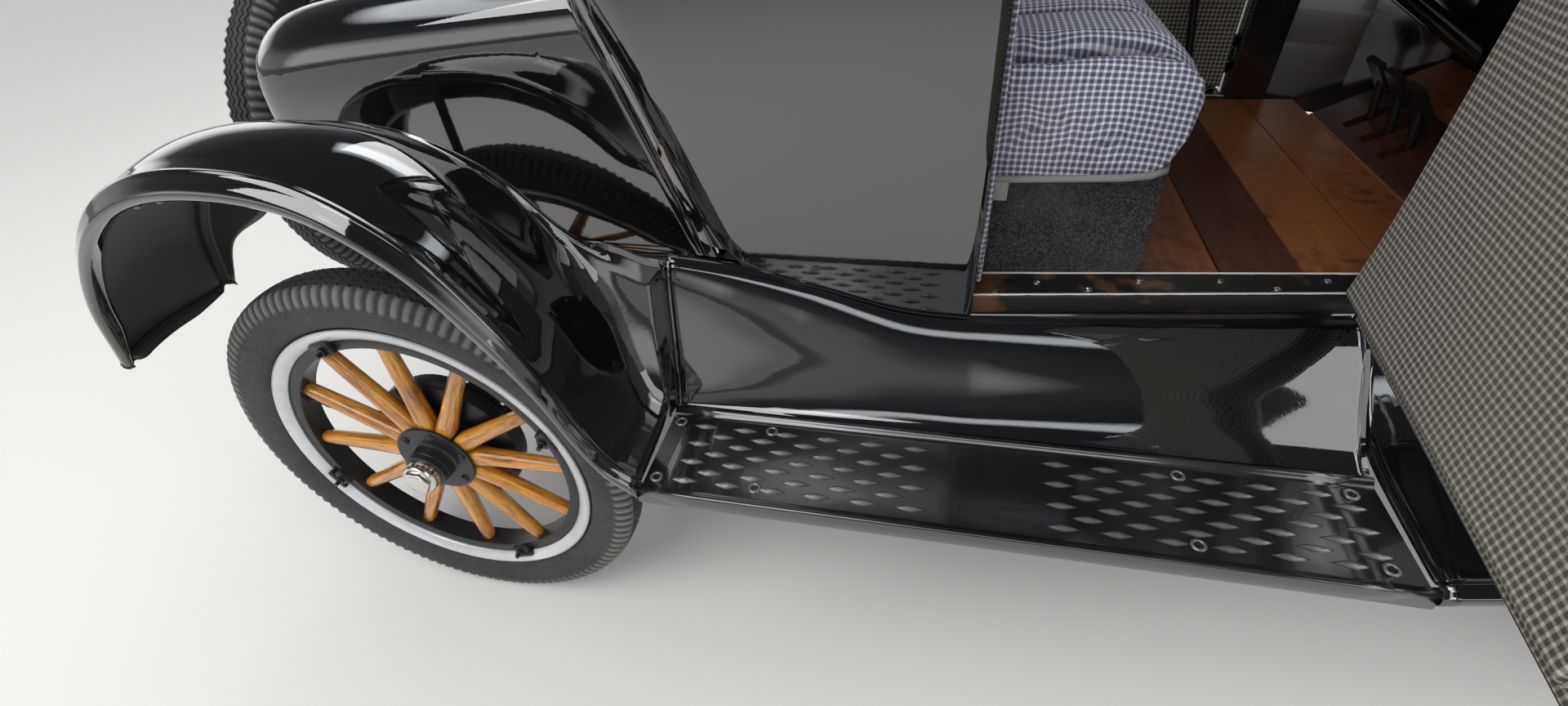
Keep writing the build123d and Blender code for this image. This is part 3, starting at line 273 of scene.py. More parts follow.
def checkCloth(name, light, middle, deep, soil):
    # small woven check: pale lines both ways, dark squares between them
    f = Finish(name, Specular_IOR_Level=0.2, Sheen_Weight=0.12)
    at = f.place(attribute="cloth")
    pitch = 0.0092
    drift = f.noise(at, 14.0, 2.0) * 0.30
    wobble = f.noise(at, 110.0, 2.0) * 0.10
    u, v = f.axis(at, 0) * (1 / pitch) + drift, f.axis(at, 1) * (1 / pitch) + drift
    lines = [f.between(f.maths("ABSOLUTE", f.maths("FRACT", way + wobble) - 0.5), 0.26, 0.14)
             for way in (u, v)]
    threads = [f.maths("SINE", way * (tau * 5)) for way in (u, v)]
    weave = threads[0] * threads[1]
    fuzz = f.noise(at, 800.0, 2.0, 0.6)
    slub = f.noise(f.place((1.0, 9.0, 1.0), attribute="cloth"), 130.0, 2.0)
    amount = (lines[0] + lines[1]) * 0.5 + weave * 0.05 + fuzz * 0.16 + slub * 0.14 - 0.15
    tone = f.node("ShaderNodeValToRGB", {"stops": [(0.0, deep), (0.48, middle), (1.0, light)]},
                  {"Fac": amount})
    worn = f.between(f.noise(f.place(), 4.0, 3.0), 0.45, 0.75)
    # painted shade: the cloth is darkened along the pleats' creases, towards a deep blue-black
    fold = f.number("fold")
    shaded = f.mix(fold * 0.85, f.mix(worn * 0.22, tone, soil), (0.012, 0.012, 0.018))
    f.put(Base_Color=shaded, Roughness=0.93 - weave * 0.04)
    f.relief(weave * 0.5 + fuzz * 0.7 + (lines[0] + lines[1]) * 0.3, 0.0006, 0.7)
    return f.material


def carpetPile():
    f = Finish("carpetPile", Specular_IOR_Level=0.15, Sheen_Weight=0.15)
    at = f.place()
    loops = f.cells(at, 420.0)
    fleck = f.noise(at, 260.0, 3.0, 0.7)
    shade = f.noise(at, 9.0, 4.0)
    base = f.mix(f.between(fleck, 0.42, 0.66), (0.014, 0.014, 0.018), (0.085, 0.082, 0.088))
    f.put(Base_Color=f.mix(f.between(shade, 0.5, 0.8) * 0.4, base, (0.12, 0.115, 0.11)),
          Roughness=0.97 - fleck * 0.05)
    f.relief(fleck - loops, 0.0016, 0.8)
    return f.material


def floorBoards():
    f = Finish("floorBoards", Coat_Weight=0.25, Coat_Roughness=0.25)
    at = f.place()
    x = f.axis(at, 0)
    board = f.maths("FLOOR", x * 8.33 + 0.63)
    tint = f.node("ShaderNodeTexWhiteNoise", {"noise_dimensions": "1D"}, {"W": board})
    grain = f.noise(f.place((38.0, 2.4, 6.0)), 2.6, 6.0, 0.62, 0.5)
    blotch = f.noise(at, 6.0, 4.0, 0.6)
    tone = f.node("ShaderNodeValToRGB", {"stops": [
        (0.22, (0.040, 0.013, 0.008)), (0.42, (0.115, 0.034, 0.017)), (0.60, (0.235, 0.075, 0.026)),
        (0.85, (0.30, 0.125, 0.042))]}, {"Fac": grain * 0.45 + tint * 0.52 + blotch * 0.14 - 0.05})
    stain = f.between(blotch * 0.6 + f.noise(at, 38.0, 4.0, 0.7) * 0.4, 0.52, 0.64)
    f.put(Base_Color=f.mix(stain * 0.8, tone, (0.040, 0.016, 0.011)), Roughness=blotch * 0.3 + 0.22)
    f.relief(grain * 0.7 + blotch * 0.3, 0.0008, 0.5)
    return f.material


def sillMetal():
    # black paint worn through to bare metal on the ribs and round the screws
    f = Finish("sillMetal")
    at = f.place()
    scuff = f.noise(f.place((1.0, 4.0, 4.0)), 26.0, 6.0, 0.7)
    fine = f.noise(at, 300.0, 3.0)
    edge = f.number("edge")
    bare = f.between(scuff * 0.7 + edge * 0.52 + fine * 0.1, 0.60, 0.72)
    rear = f.between(f.axis(at, 0), -0.24, -0.32)
    rust = f.between(f.noise(at, 18.0, 4.0) + rear * 0.22, 0.60, 0.72)
    paint = f.mix(rust * 0.7, (0.012, 0.011, 0.011), (0.14, 0.062, 0.028))
    f.put(Base_Color=f.mix(bare, paint, (0.86, 0.85, 0.83)), Metallic=bare * 0.25,
          Roughness=0.24 + scuff * 0.25)
    f.relief(scuff * 0.4 + fine * 0.3, 0.0004, 0.5)
    return f.material


def underPaint():
    f = Finish("underPaint")
    at = f.place()
    cloud = f.noise(at, 5.0, 5.0, 0.6)
    grit = f.noise(at, 240.0, 4.0, 0.7)
    f.put(Base_Color=f.mix(f.between(cloud, 0.35, 0.7), (0.026, 0.025, 0.022), (0.060, 0.057, 0.050)),
          Roughness=0.22 + cloud * 0.15 + grit * 0.12)
    f.relief(grit, 0.0004, 0.35)
    return f.material


def brightMetal(name, base, rough):
    f = Finish(name, Metallic=1.0)
    at = f.place()
    haze = f.noise(at, 22.0, 5.0, 0.6)
    turned = f.noise(at, 320.0, 2.0)
    spots = f.between(f.noise(at, 130.0, 4.0, 0.7), 0.68, 0.76)
    f.put(Base_Color=f.mix(spots * 0.6, base, (0.20, 0.18, 0.15)),
          Roughness=haze * 0.16 + spots * 0.3 + rough)
    f.relief(turned, 0.0002, 0.25)
    return f.material


def clearGlass():
    f = Finish("clearGlass", Roughness=0.01, IOR=1.5, Specular_IOR_Level=0.6)
    at = f.place()
    smear = f.between(f.noise(at, 3.0, 4.0, 0.6), 0.5, 0.9)
    f.put(Base_Color=f.mix(smear, (0.62, 0.70, 0.68), (0.74, 0.78, 0.76)), Alpha=smear * 0.05 + 0.14)
    return f.material


def grainedCloth():
    # coated roof fabric with a leather-like grain
    f = Finish("grainedCloth", Specular_IOR_Level=0.4)
    at = f.place()
    pebble = f.cells(at, 330.0)
    cloud = f.noise(at, 4.0, 5.0)
    f.put(Base_Color=f.mix(f.between(cloud, 0.4, 0.75), (0.010, 0.010, 0.011), (0.028, 0.027, 0.026)),
          Roughness=0.42 + cloud * 0.2)
    f.relief(pebble, 0.0006, 0.6)
    return f.material


def lampGlass():
    f = Finish("lampGlass", Roughness=0.03, IOR=1.5)
    at = f.place()
    haze = f.noise(at, 12.0, 4.0)
    f.put(Base_Color=f.mix(haze, (0.80, 0.84, 0.84), (0.66, 0.70, 0.70)), Alpha=haze * 0.1 + 0.22)
    f.relief(f.maths("SINE", f.axis(at, 1) * 700.0), 0.0012, 0.8)
    return f.material


def redGlass():
    f = Finish("redGlass", Coat_Weight=1.0, Coat_Roughness=0.03)
    at = f.place()
    f.put(Base_Color=f.mix(f.noise(at, 40.0), (0.30, 0.006, 0.006), (0.42, 0.015, 0.010)), Roughness=0.12)
    f.relief(f.cells(at, 260.0), 0.0008, 0.5)
    return f.material


black = (0.0042, 0.0044, 0.0052)
finishes = {
    "gloss": glossPaint("glossBlack", black, (0.022, 0.022, 0.023), 0.03, 1.0),
    "board": glossPaint("boardBlack", (0.007, 0.007, 0.008), (0.050, 0.049, 0.048), 0.17, 0.5),
    "chassis": satinMetal("chassisBlack", (0.011, 0.011, 0.011), (0.060, 0.052, 0.044), 0.34, 0.0),
    "steel": satinMetal("blackSteel", (0.013, 0.013, 0.014), (0.055, 0.050, 0.046), 0.26, 0.1),
    "spring": satinMetal("springSteel", (0.020, 0.019, 0.019), (0.105, 0.080, 0.060), 0.38, 0.3),
    "iron": satinMetal("castIron", (0.042, 0.043, 0.042), (0.090, 0.070, 0.052), 0.45, 0.25, 45.0, 0.6),
    "wood": spokeWood(),
    "rim": rimPaint("rimPaint"),
    "carrier": rimPaint("carrierPaint", 0.761),
    "rubber": tyreRubber(),
    "check": checkCloth("seatCloth", (0.82, 0.82, 0.86), (0.34, 0.35, 0.45), (0.075, 0.077, 0.13),
                        (0.34, 0.33, 0.33)),
    "tooth": checkCloth("doorCloth", (0.54, 0.50, 0.42), (0.235, 0.215, 0.18), (0.055, 0.049, 0.040),
                        (0.25, 0.22, 0.17)),
    "tread": treadPaint(),
    "carpet": carpetPile(),
    "boards": floorBoards(),
    "coil": satinMetal("coilBox", (0.060, 0.024, 0.012), (0.12, 0.055, 0.028), 0.35, 0.0, 60.0, 0.5),
    "sill": sillMetal(),
    "under": underPaint(),
    "nickel": brightMetal("nickel", (0.72, 0.70, 0.66), 0.10),
    "screw": brightMetal("screwSteel", (0.52, 0.51, 0.49), 0.25),
    "glass": clearGlass(),
    "top": grainedCloth(),
    "lens": lampGlass(),
    "red": redGlass(),
    "binding": satinMetal("greyBinding", (0.21, 0.20, 0.19), (0.32, 0.31, 0.29), 0.8, 0.0, 400.0, 0.5),
}
print("finishes made:", len(finishes))


# tools for shaping; sizes and places are in millimetres

hands = (("left", 1), ("right", -1))
upright, sideways = -pi / 2, pi / 2    # turns of a spun profile's X axis, up or down the Z axis
creaseAngle = radians(30)


def site(x, y, z, turn=0.0, axis="Y"):
    return Matrix.Translation(Vector((x, y, z)) / 1000) @ Matrix.Rotation(turn, 4, axis)


def facing(start, direction):
    # a place whose Z axis points along a direction
    turn = Vector(direction).to_track_quat("Z", "Y").to_matrix().to_4x4()
    return Matrix.Translation(Vector(start) / 1000) @ turn


def rowAt(rows, key):
    # the rows on both sides of a key, and how far the key lies between them
    keys = [row[0] for row in rows]
    key = min(max(key, keys[0]), keys[-1])
    i = min(bisect_right(keys, key), len(rows) - 1) - 1
    return keys, i, (key - keys[i]) / (keys[i + 1] - keys[i])


def flow(rows, key):
    # a smooth value of each column at key, through rows of (key, value, ...)
    keys, i, t = rowAt(rows, key)
    span = keys[i + 1] - keys[i]
    values = []
    for column in range(1, len(rows[0])):
        slopes = []
        for n in (i, i + 1):
            low, high = max(n - 1, 0), min(n + 1, len(rows) - 1)
            slopes.append((rows[high][column] - rows[low][column]) / (keys[high] - keys[low]) * span)
        a, b = rows[i][column], rows[i + 1][column]
        bend = 3 * (b - a) - 2 * slopes[0] - slopes[1]
        values.append(a + t * (slopes[0] + t * (bend + t * (2 * (a - b) + slopes[0] + slopes[1]))))
    return values


def straight(rows, key):
    _, i, t = rowAt(rows, key)
    return rows[i][1] + t * (rows[i + 1][1] - rows[i][1])


def eased(points, steps):
    rows = [(n, *point) for n, point in enumerate(points)]
    return [tuple(flow(rows, (len(points) - 1) * n / steps)) for n in range(steps + 1)]


def bothWays(half, closed=False):
    # the columns of the left half, then those of the right half back to the start
    return [(key, 1) for key in half] + [(key, -1) for key in half[-2:0 if closed else None:-1]]


def shaped(across, along, place):
    # a grid whose vertices are placed by a formula; seams and poles close where they meet
    mesh = bmesh.new()
    bmesh.ops.create_grid(mesh, x_segments=across, y_segments=along, size=0.5)
    for vert in mesh.verts:
        vert.co = Vector(place(round((vert.co.x + 0.5) * across), round((vert.co.y + 0.5) * along))) / 1000
    bmesh.ops.remove_doubles(mesh, verts=mesh.verts, dist=1e-5)
    return mesh


def outward(mesh):
    bmesh.ops.recalc_face_normals(mesh, faces=mesh.faces)
    return mesh


def turnedOver(mesh):
    bmesh.ops.reverse_faces(mesh, faces=mesh.faces)
    return mesh


def away(mesh, reference):
    # turns an open sheet's faces away from a point behind it
    outward(mesh)
    behind = Vector(reference) / 1000
    vote = sum(face.normal.dot(face.calc_center_median() - behind) * face.calc_area() for face in mesh.faces)
    return turnedOver(mesh) if vote < 0 else mesh


def otherSide(mesh):
    # the twin on the car's right
    mesh.transform(Matrix.Scale(-1, 4, (0, 1, 0)))
    return turnedOver(mesh)


def turned(profile, steps=64, loop=False):
    # a profile of (distance along the axle, radius) spun about the X axis
    mesh = bmesh.new()
    verts = [mesh.verts.new((along / 1000, 0, radius / 1000)) for along, radius in profile]
    edges = [mesh.edges.new(pair) for pair in zip(verts, verts[1:] + (verts[:1] if loop else []))]
    bmesh.ops.spin(mesh, geom=verts + edges, cent=(0, 0, 0), axis=(1, 0, 0), angle=tau, steps=steps,
                   use_merge=True)
    bmesh.ops.remove_doubles(mesh, verts=mesh.verts, dist=1e-6)
    return outward(mesh)


def softened(mesh, offset, segments=2):
    edges = [e for e in mesh.edges if len(e.link_faces) == 2 and e.calc_face_angle() > creaseAngle]
    bmesh.ops.bevel(mesh, geom=edges, offset=offset / 1000, offset_type="OFFSET", segments=segments,
                    profile=0.5, affect="EDGES", material=-1)
    return mesh


def box(low, high, bevel=0.0, segments=2):
    mesh = bmesh.new()
    bmesh.ops.create_cube(mesh, size=1.0)
    bmesh.ops.scale(mesh, vec=[(b - a) / 1000 for a, b in zip(low, high)], verts=mesh.verts)
    bmesh.ops.translate(mesh, vec=[(a + b) / 2000 for a, b in zip(low, high)], verts=mesh.verts)
    return softened(mesh, bevel, segments) if bevel else mesh


def cone(mesh, sides, wide, narrow, depth, place):
    bmesh.ops.create_cone(mesh, cap_ends=True, segments=sides, radius1=wide / 1000, radius2=narrow / 1000,
                          depth=depth / 1000, matrix=place)
    return mesh


def bar(start, end, radius, sides=16, radiusEnd=None):
    a, b = Vector(start), Vector(end)
    return cone(bmesh.new(), sides, radius, radiusEnd or radius, (b - a).length, facing((a + b) / 2, b - a))


def bolt(place, radius, head, washer=True):
    # a hexagon head on a washer, standing on a place's Z axis
    mesh = softened(cone(bmesh.new(), 6, radius, radius, head, site(0, 0, head / 2)), radius * 0.12, 1)
    if washer:
        cone(mesh, 18, radius * 1.45, radius * 1.35, head * 0.3, site(0, 0, head * 0.12))
    mesh.transform(place)
    return mesh


def rivet(place, radius, height):
    # a domed head
    dome = [(height * cos(pi / 8 * n), radius * sin(pi / 8 * n)) for n in range(5)]
    mesh = turned(dome + [(-1, radius)], 14)
    mesh.transform(place @ Matrix.Rotation(upright, 4, "Y"))
    return mesh


def screw(place, radius):
    # a slotted raised head
    mesh = rivet(Matrix(), radius, radius * 0.35)
    slot = [v for v in mesh.verts if abs(v.co.x) < radius * 0.00016 and v.co.z > 0]
    bmesh.ops.translate(mesh, vec=(0, 0, -radius * 0.00025), verts=slot)
    mesh.transform(place)
    return mesh


def lofted(rings):
    # a skin through rings of points, closed round and capped at its ends
    count = len(rings[0])
    mesh = shaped(count, len(rings) - 1, lambda i, j: rings[j][i % count])
    bmesh.ops.holes_fill(mesh, edges=[e for e in mesh.edges if e.is_boundary], sides=0)
    return outward(mesh)


def tube(points, radius, sides=3, closed=False):
    # a round bead along points, from a bevelled curve
    curve = bpy.data.curves.new("bead", "CURVE")
    curve.dimensions, curve.bevel_depth, curve.bevel_resolution = "3D", radius / 1000, sides
    curve.use_fill_caps = True
    line = curve.splines.new("POLY")
    line.points.add(len(points) - 1)
    for dot, point in zip(line.points, points):
        dot.co = (*(Vector(point) / 1000), 1)
    line.use_cyclic_u = closed
    holder = bpy.data.objects.new("bead", curve)
    data = bpy.data.meshes.new_from_object(holder)
    mesh = bmesh.new()
    mesh.from_mesh(data)
    for block, owner in ((holder, bpy.data.objects), (data, bpy.data.meshes), (curve, bpy.data.curves)):
        owner.remove(block)
    bmesh.ops.remove_doubles(mesh, verts=mesh.verts, dist=1e-6)
    return outward(mesh)


def cutOut(mesh, start, end, keep=False):
    # cuts along a box's walls and removes the faces inside it, or outside it
    low, high = zip(*(sorted((a / 1000, b / 1000)) for a, b in zip(start, end)))
    for axis in range(3):
        normal = Vector([float(n == axis) for n in range(3)])
        for wall in (low[axis], high[axis]):
            bmesh.ops.bisect_plane(mesh, geom=mesh.verts[:] + mesh.edges[:] + mesh.faces[:],
                                   plane_co=normal * wall, plane_no=normal, dist=1e-6)
    gone = [face for face in mesh.faces
            if keep != all(a < n < b for n, a, b in zip(face.calc_center_median(), low, high))]
    bmesh.ops.delete(mesh, geom=gone, context="FACES")
    return mesh


def add(mesh, other, finish=None, place=None):
    # takes another mesh's faces in, with a finish of their own
    if place:
        other.transform(place)
    if finish is not None:
        for face in other.faces:
            face.material_index = finish
    step = bpy.data.meshes.new("step")
    other.to_mesh(step)
    other.free()
    mesh.from_mesh(step)
    bpy.data.meshes.remove(step)
    return mesh


def joined(meshes):
    whole = bmesh.new()
    for mesh in meshes:
        add(whole, mesh)
    return whole


def linked(name, mesh):
    data = bpy.data.meshes.new(name)
    mesh.to_mesh(data)
    mesh.free()
    made = bpy.data.objects.new(name, data)
    scene.collection.objects.link(made)
    return made


def piece(name, mesh, paints, replaced="", slot="body_black", body="chassis", sharp=35, side=1, wall=0,
          lining=0, even=True, **marks):
    # one finished piece; each mark is a value for every vertex, which a finish reads by its name
    made = linked(name, otherSide(mesh) if side < 0 else mesh)
    data = made.data
    for paint in paints.split():
        data.materials.append(finishes[paint])
    data.shade_smooth()
    data.set_sharp_from_angle(angle=radians(sharp))
    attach(made, body)
    if replaced:
        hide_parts(replaced)
    if wall:
        sheet = made.modifiers.new("wall", "SOLIDIFY")
        sheet.thickness, sheet.offset, sheet.use_even_offset = wall / 1000, -1, even
        sheet.use_quality_normals, sheet.material_offset, sheet.material_offset_rim = True, lining, 0
    for mark, values in marks.items():
        vectors = isinstance(values[0], tuple)
        layer = data.attributes.new(mark, "FLOAT_VECTOR" if vectors else "FLOAT", "POINT")
        flat = [n for value in values for n in value] if vectors else values
        layer.data.foreach_set("vector" if vectors else "value", flat)
    return made


# wheels

wheelPlan = {
    "centre": 392, "halfTrack": 711, "ends": (("front", 1270), ("rear", -1270)), "spare": (-1735, 0, 761),
    "ribs": 120, "perRib": 4, "ribHeight": 3, "ribShape": (1, 1, 0, 0), "zigzag": 3.2,
    "zigShape": (0, 1, 0, -1),
    # across the tyre, radius, share of the rib, share of the zigzag
    "tyre": [(20.5, 298, 0, 0), (22.5, 304, 0, 0), (25.5, 308, 0, 0), (31, 312.5, 0, 0), (36, 319.5, 0, 0),
             (39.6, 330, 0, 0), (41.2, 341, 0, 0), (41.6, 350, 0, 0), (41.2, 357, 0.15, 0), (40, 363.5, 1, 0),
             (38, 369.5, 1, 0), (35.4, 375, 1, 0), (32.4, 379.5, 1, 0), (29.4, 383, 1, 0),
             (26.8, 385.4, 0.8, 0.3), (24.6, 387.2, 0, 0.6), (22, 388.8, 0, 1), (20.2, 389.2, 0, 1),
             (19.4, 386.4, 0, 1), (17.4, 386.6, 0, 1), (16.6, 390, 0, 1), (10, 391.2, 0, 1),
             (8.4, 391.3, 0, 1), (7.6, 388.2, 0, 1), (5.8, 388.2, 0, 1), (5, 391.6, 0, 1), (0, 391.8, 0, 1)],
    "boltAngles": (15, 75, 135, 195, 255, 315), "boltCircle": 63,
    "lugAngles": (-20, 70, 160, 250), "valveAngle": -66,
}


def tyre(name, node, body, place):
    half, perRib = wheelPlan["tyre"], wheelPlan["perRib"]
    rows = half + [(-w, r, rib, zig) for w, r, rib, zig in half[-2::-1]]
    steps = wheelPlan["ribs"] * perRib

    def tyrePoint(i, j):
        w, r, rib, zig = rows[j]
        phase = i % perRib
        lift = rib * wheelPlan["ribShape"][phase] * wheelPlan["ribHeight"]
        w += lift * (0.75 if w > 0 else -0.75) + zig * wheelPlan["zigShape"][phase] * wheelPlan["zigzag"]
        r += lift * 0.6
        a = tau * (i % steps) / steps
        return w, r * sin(a), r * cos(a)

    mesh = outward(shaped(steps, len(rows) - 1, tyrePoint))
    # ribs marks the raised ribs that the rubber paints paler: partly wear, partly a painted highlight
    ribs = []
    for vert in mesh.verts:
        onRib = 0.36 < hypot(vert.co.y, vert.co.z) < 0.3875 and abs(vert.co.x) > 0.024
        phase = round(atan2(vert.co.y, vert.co.z) % tau / tau * steps) % perRib
        ribs.append(1.0 if onRib and phase < 2 else 0.0)
    mesh.transform(place)
    piece(name, mesh, "rubber", node, "tyre_rubber", body, 40, rib=ribs)


spokePlan = {
    "count": 12, "sides": 16, "squaring": 0.62,
    # radius, width round the wheel, depth along the axle, squareness 0 to 1
    "rings": [(40.5, 21, 33.4, 1.0), (56, 28.6, 33.4, 1.0), (66, 33.4, 33.4, 0.9), (76, 36.6, 33.6, 0.75),
              (86, 36.4, 34, 0.5), (100, 35, 34, 0.3), (125, 33.4, 33, 0.15), (160, 31.5, 31.5, 0.1),
              (200, 29.2, 29.5, 0.1), (235, 27.4, 27.8, 0.1), (252, 26, 26.6, 0.15), (258, 24.4, 25, 0.2),
              (262.5, 22, 22.6, 0.2)],
}


def spokes(name, node, body, place):
    sides, count = spokePlan["sides"], spokePlan["count"]
    rings = []
    for radius, width, depth, square in spokePlan["rings"]:
        power = 1 - spokePlan["squaring"] * square
        ring = []
        for n in range(sides):
            c, s = cos(tau * n / sides), sin(tau * n / sides)
            ring.append((depth / 2 * abs(s) ** power * (1 if s > 0 else -1),
                         width / 2 * abs(c) ** power * (1 if c > 0 else -1), radius))
        rings.append(ring)
    one, whole, grain = lofted(rings), bmesh.new(), []
    for n in range(count):
        copy = one.copy()
        grain += [(v.co.z + n * 0.731, v.co.x + n * 0.37, v.co.y) for v in copy.verts]
        add(whole, copy, place=Matrix.Rotation(-n * tau / count, 4, "X"))
    one.free()
    whole.transform(place)
    piece(name, whole, "wood", node, "spoke_wood", body, 50, grain=grain)


def bothHalves(half):
    return half + [(-along, radius) for along, radius in half[::-1]]


hubPlan = {
    # steps, closed, finish, profile
    "rim": (128, True, 0, bothHalves([(-20, 283.5), (-22.6, 283), (-26, 285.6), (-30, 291), (-33, 297.5),
                                      (-33.8, 302), (-31.5, 306), (-28, 306.8), (-26, 304.5), (-25.5, 299),
                                      (-23, 296.4)])),
    "felloe": (128, True, 1, bothHalves([(20, 262), (20.6, 263.5), (20.6, 281.5), (19.5, 284)])),
    "flange": (64, False, 1, [(16.8, 36), (16.8, 75), (17.6, 76.2), (22, 76.2), (23.2, 75), (23.6, 70),
                              (23.6, 44), (25.5, 41), (28, 39.8), (44, 39.4), (45.2, 38.6), (45.6, 37),
                              (46.8, 37), (47.2, 38.6), (48.6, 39), (49.8, 38.6), (50.2, 37), (51.4, 37),
                              (51.8, 38.2), (54, 38.2), (55, 36.5), (55, 0)]),
    "inner": (48, False, 1, [(-16.8, 36), (-16.8, 75), (-17.6, 76.2), (-22, 76.2), (-23, 75), (-23, 38),
                             (-28, 36), (-44, 34), (-45, 32), (-45, 17)]),
    "drum": (96, True, 1, [(-23, 60), (-23, 139), (-24.5, 141.5), (-27, 142.4), (-49, 142.4), (-52, 141.4),
                           (-52, 136.4), (-29, 136), (-29, 60)]),
    "cap": (48, False, 2, [(54, 0), (54, 31.5), (56, 32.6), (66, 32.2), (72, 31.4), (74, 30), (74.6, 28),
                           (74.6, 0)]),
    "tip": (32, False, 2, [(82, 19), (83.5, 18.5), (84.8, 12), (85, 0)]),
}


def hub(name, node, body, place, driven):
    mesh = bmesh.new()
    for part, (steps, closed, finish, profile) in hubPlan.items():
        if driven or part != "drum":
            add(mesh, turned(profile, steps, closed), finish)
    nut = softened(cone(bmesh.new(), 6, 27, 26, 9, site(0, 0, 78.5)), 1.4)
    add(mesh, nut, 2, Matrix.Rotation(sideways, 4, "Y"))
    circle = wheelPlan["boltCircle"]
    for a in map(radians, wheelPlan["boltAngles"]):
        y, z = circle * sin(a), circle * cos(a)
        add(mesh, rivet(site(23.5, y, z, sideways), 8.5, 5.5), 1)
        add(mesh, bolt(site(-23, y, z, upright), 8, 7, False), 1)
    for angle in wheelPlan["lugAngles"]:
        lug = joined([box((12, -17, 262), (31, 17, 293), 4), box((20.5, -23, 279), (34, 23, 289), 3),
                      bolt(site(30, 0, 272, sideways), 8.5, 8), bar((30, 0, 272), (47, 0, 272), 4.2, 12)])
        add(mesh, lug, 1, Matrix.Rotation(-radians(angle), 4, "X"))
    valve = joined([bar((0, 0, 264), (0, 0, 222), 4.2, 12), bar((0, 0, 262), (0, 0, 255), 8, 6),
                    bar((0, 0, 226), (0, 0, 214), 5.2, 12, 3.5)])
    add(mesh, valve, 1, Matrix.Rotation(-radians(wheelPlan["valveAngle"]), 4, "X"))
    mesh.transform(place)
    piece(name, mesh, "rim steel nickel", node, "rim_grey", body, 32)


for end, x in wheelPlan["ends"]:
    for hand, side in hands:
        place = site(x, side * wheelPlan["halfTrack"], wheelPlan["centre"], side * pi / 2, "Z")
        key, body = f"{end}_{hand}", f"{end}_{hand}_wheel"
        tyre(f"tyre_{key}", f"{key}_tyre", body, place)
        spokes(f"spokes_{key}", f"{key}_spokes", body, place)
        hub(f"hub_{key}", f"{key}_hub_and_rim", body, place, end == "rear")
tyre("tyre_spare", "spare_tyre", "chassis", site(*wheelPlan["spare"], pi, "Z"))
print("wheels made")


# fenders

fenderPlan = {
    "out": 835, "hub": 392, "sheet": 1.8, "straps": (345,), "rivets": (426, 472), "stations": 84,
    # the strap's section: along the fender, depth below it
    "strap": [(-17, 1.9), (-14, 6.6), (-9, 8.6), (9, 8.6), (14, 6.6), (17, 1.9)],
    # the free end turns in over the tyre: drop, distance past the end
    "tip": [(26, 1.0), (12, 3.4), (5, 3.6), (1.5, 2.4)],
    # share across, share of the crown, share of the rise
    "across": [(0, 0, 0), (0.10, 0.38, 0), (0.22, 0.74, 0.01), (0.40, 0.98, 0.03), (0.58, 0.95, 0.07),
               (0.74, 0.70, 0.20), (0.88, 0.36, 0.55), (1, 0, 1)],
    # outer lip: in from the edge and height, then the share of the crown that it follows
    "lip": [(27, -14, 0), (20, -15.5, 0), (8, -16, 0), (2.5, -15, 0), (0.2, -12, 0), (0, -7, 0), (0.6, -3, 0),
            (2.6, -0.4, 0.02), (5.5, 0.8, 0.08), (9, 1.2, 0.2), (12, 2.2, 0.28), (14.5, 4.6, 0.33),
            (17.5, 5.4, 0.38), (20.5, 4.4, 0.42), (23, 1.8, 0.46), (26, 0.6, 0.5), (30, 0, 0.56)],
    "body": [0.16, 0.20, 0.26, 0.32, 0.38, 0.44, 0.50, 0.56, 0.62, 0.68, 0.74, 0.79, 0.84, 0.88],
    # inner edge: out from the edge, height, share of the rise
    "edge": [(20, 1.0, 0.72), (16, 4.2, 0.78), (12.5, 5.2, 0.84), (9, 4.0, 0.90), (6, 1.0, 0.95),
             (3, -0.6, 0.98), (0.8, -2.4, 1.0), (0, -6, 1.0)],
    "skirt": [0.3, 0.6, 0.85, 1.0],
    # along and above the axle, lean, rise, crown, inner edge, skirt
    "rear": [(-400, 270, 146, 14, 20, 600, 8), (-360, 392, 132, 12, 28, 600, 44),
             (-272, 500, 118, 6, 32, 600, 90), (-152, 569, 105, -2, 34, 600, 72),
             (-20, 589, 92, -8, 36, 600, 46), (121, 570, 78, -2, 36, 600, 30),
             (232, 497, 66, 20, 34, 600, 24), (308, 394, 65, 40, 28, 600, 16),
             (356, 307, 78, 93, 16, 598, -6), (392, 214, 84.6, 169, 6, 592, -8),
             (426, 151, 87.3, 216, 2, 588, -8), (467, 115, 90, 246, 0, 586, -8)],
    "front": [(420, 214, 30, 14, 18, 600, 24), (375, 340, 46, 8, 28, 596, 40), (290, 445, 60, 0, 34, 592, 52),
              (160, 518, 75, -4, 36, 590, 60), (0, 548, 92, -6, 36, 590, 64),
              (-160, 535, 108, -4, 36, 590, 64), (-330, 470, 120, 0, 34, 588, 60),
              (-500, 375, 126, 4, 30, 580, 52), (-680, 262, 122, 24, 22, 560, 40),
              (-860, 168, 108, 80, 12, 520, 30), (-1035, 115, 90, 142, 0, 470, 16)],
}
fenderColumns = [("lip", *row) for row in fenderPlan["lip"]] + [("body", a, 0, 0) for a in fenderPlan["body"]]
fenderColumns += [("edge", *row) for row in fenderPlan["edge"]]
fenderColumns += [("skirt", a, 0, 0) for a in fenderPlan["skirt"]]


def keyed(table):
    # the distance along a fender comes first in each row
    rows, far, last = [], 0.0, table[0]
    for row in table:
        far += hypot(row[0] - last[0], row[1] - last[1])
        rows.append((far, *row))
        last = row
    return rows


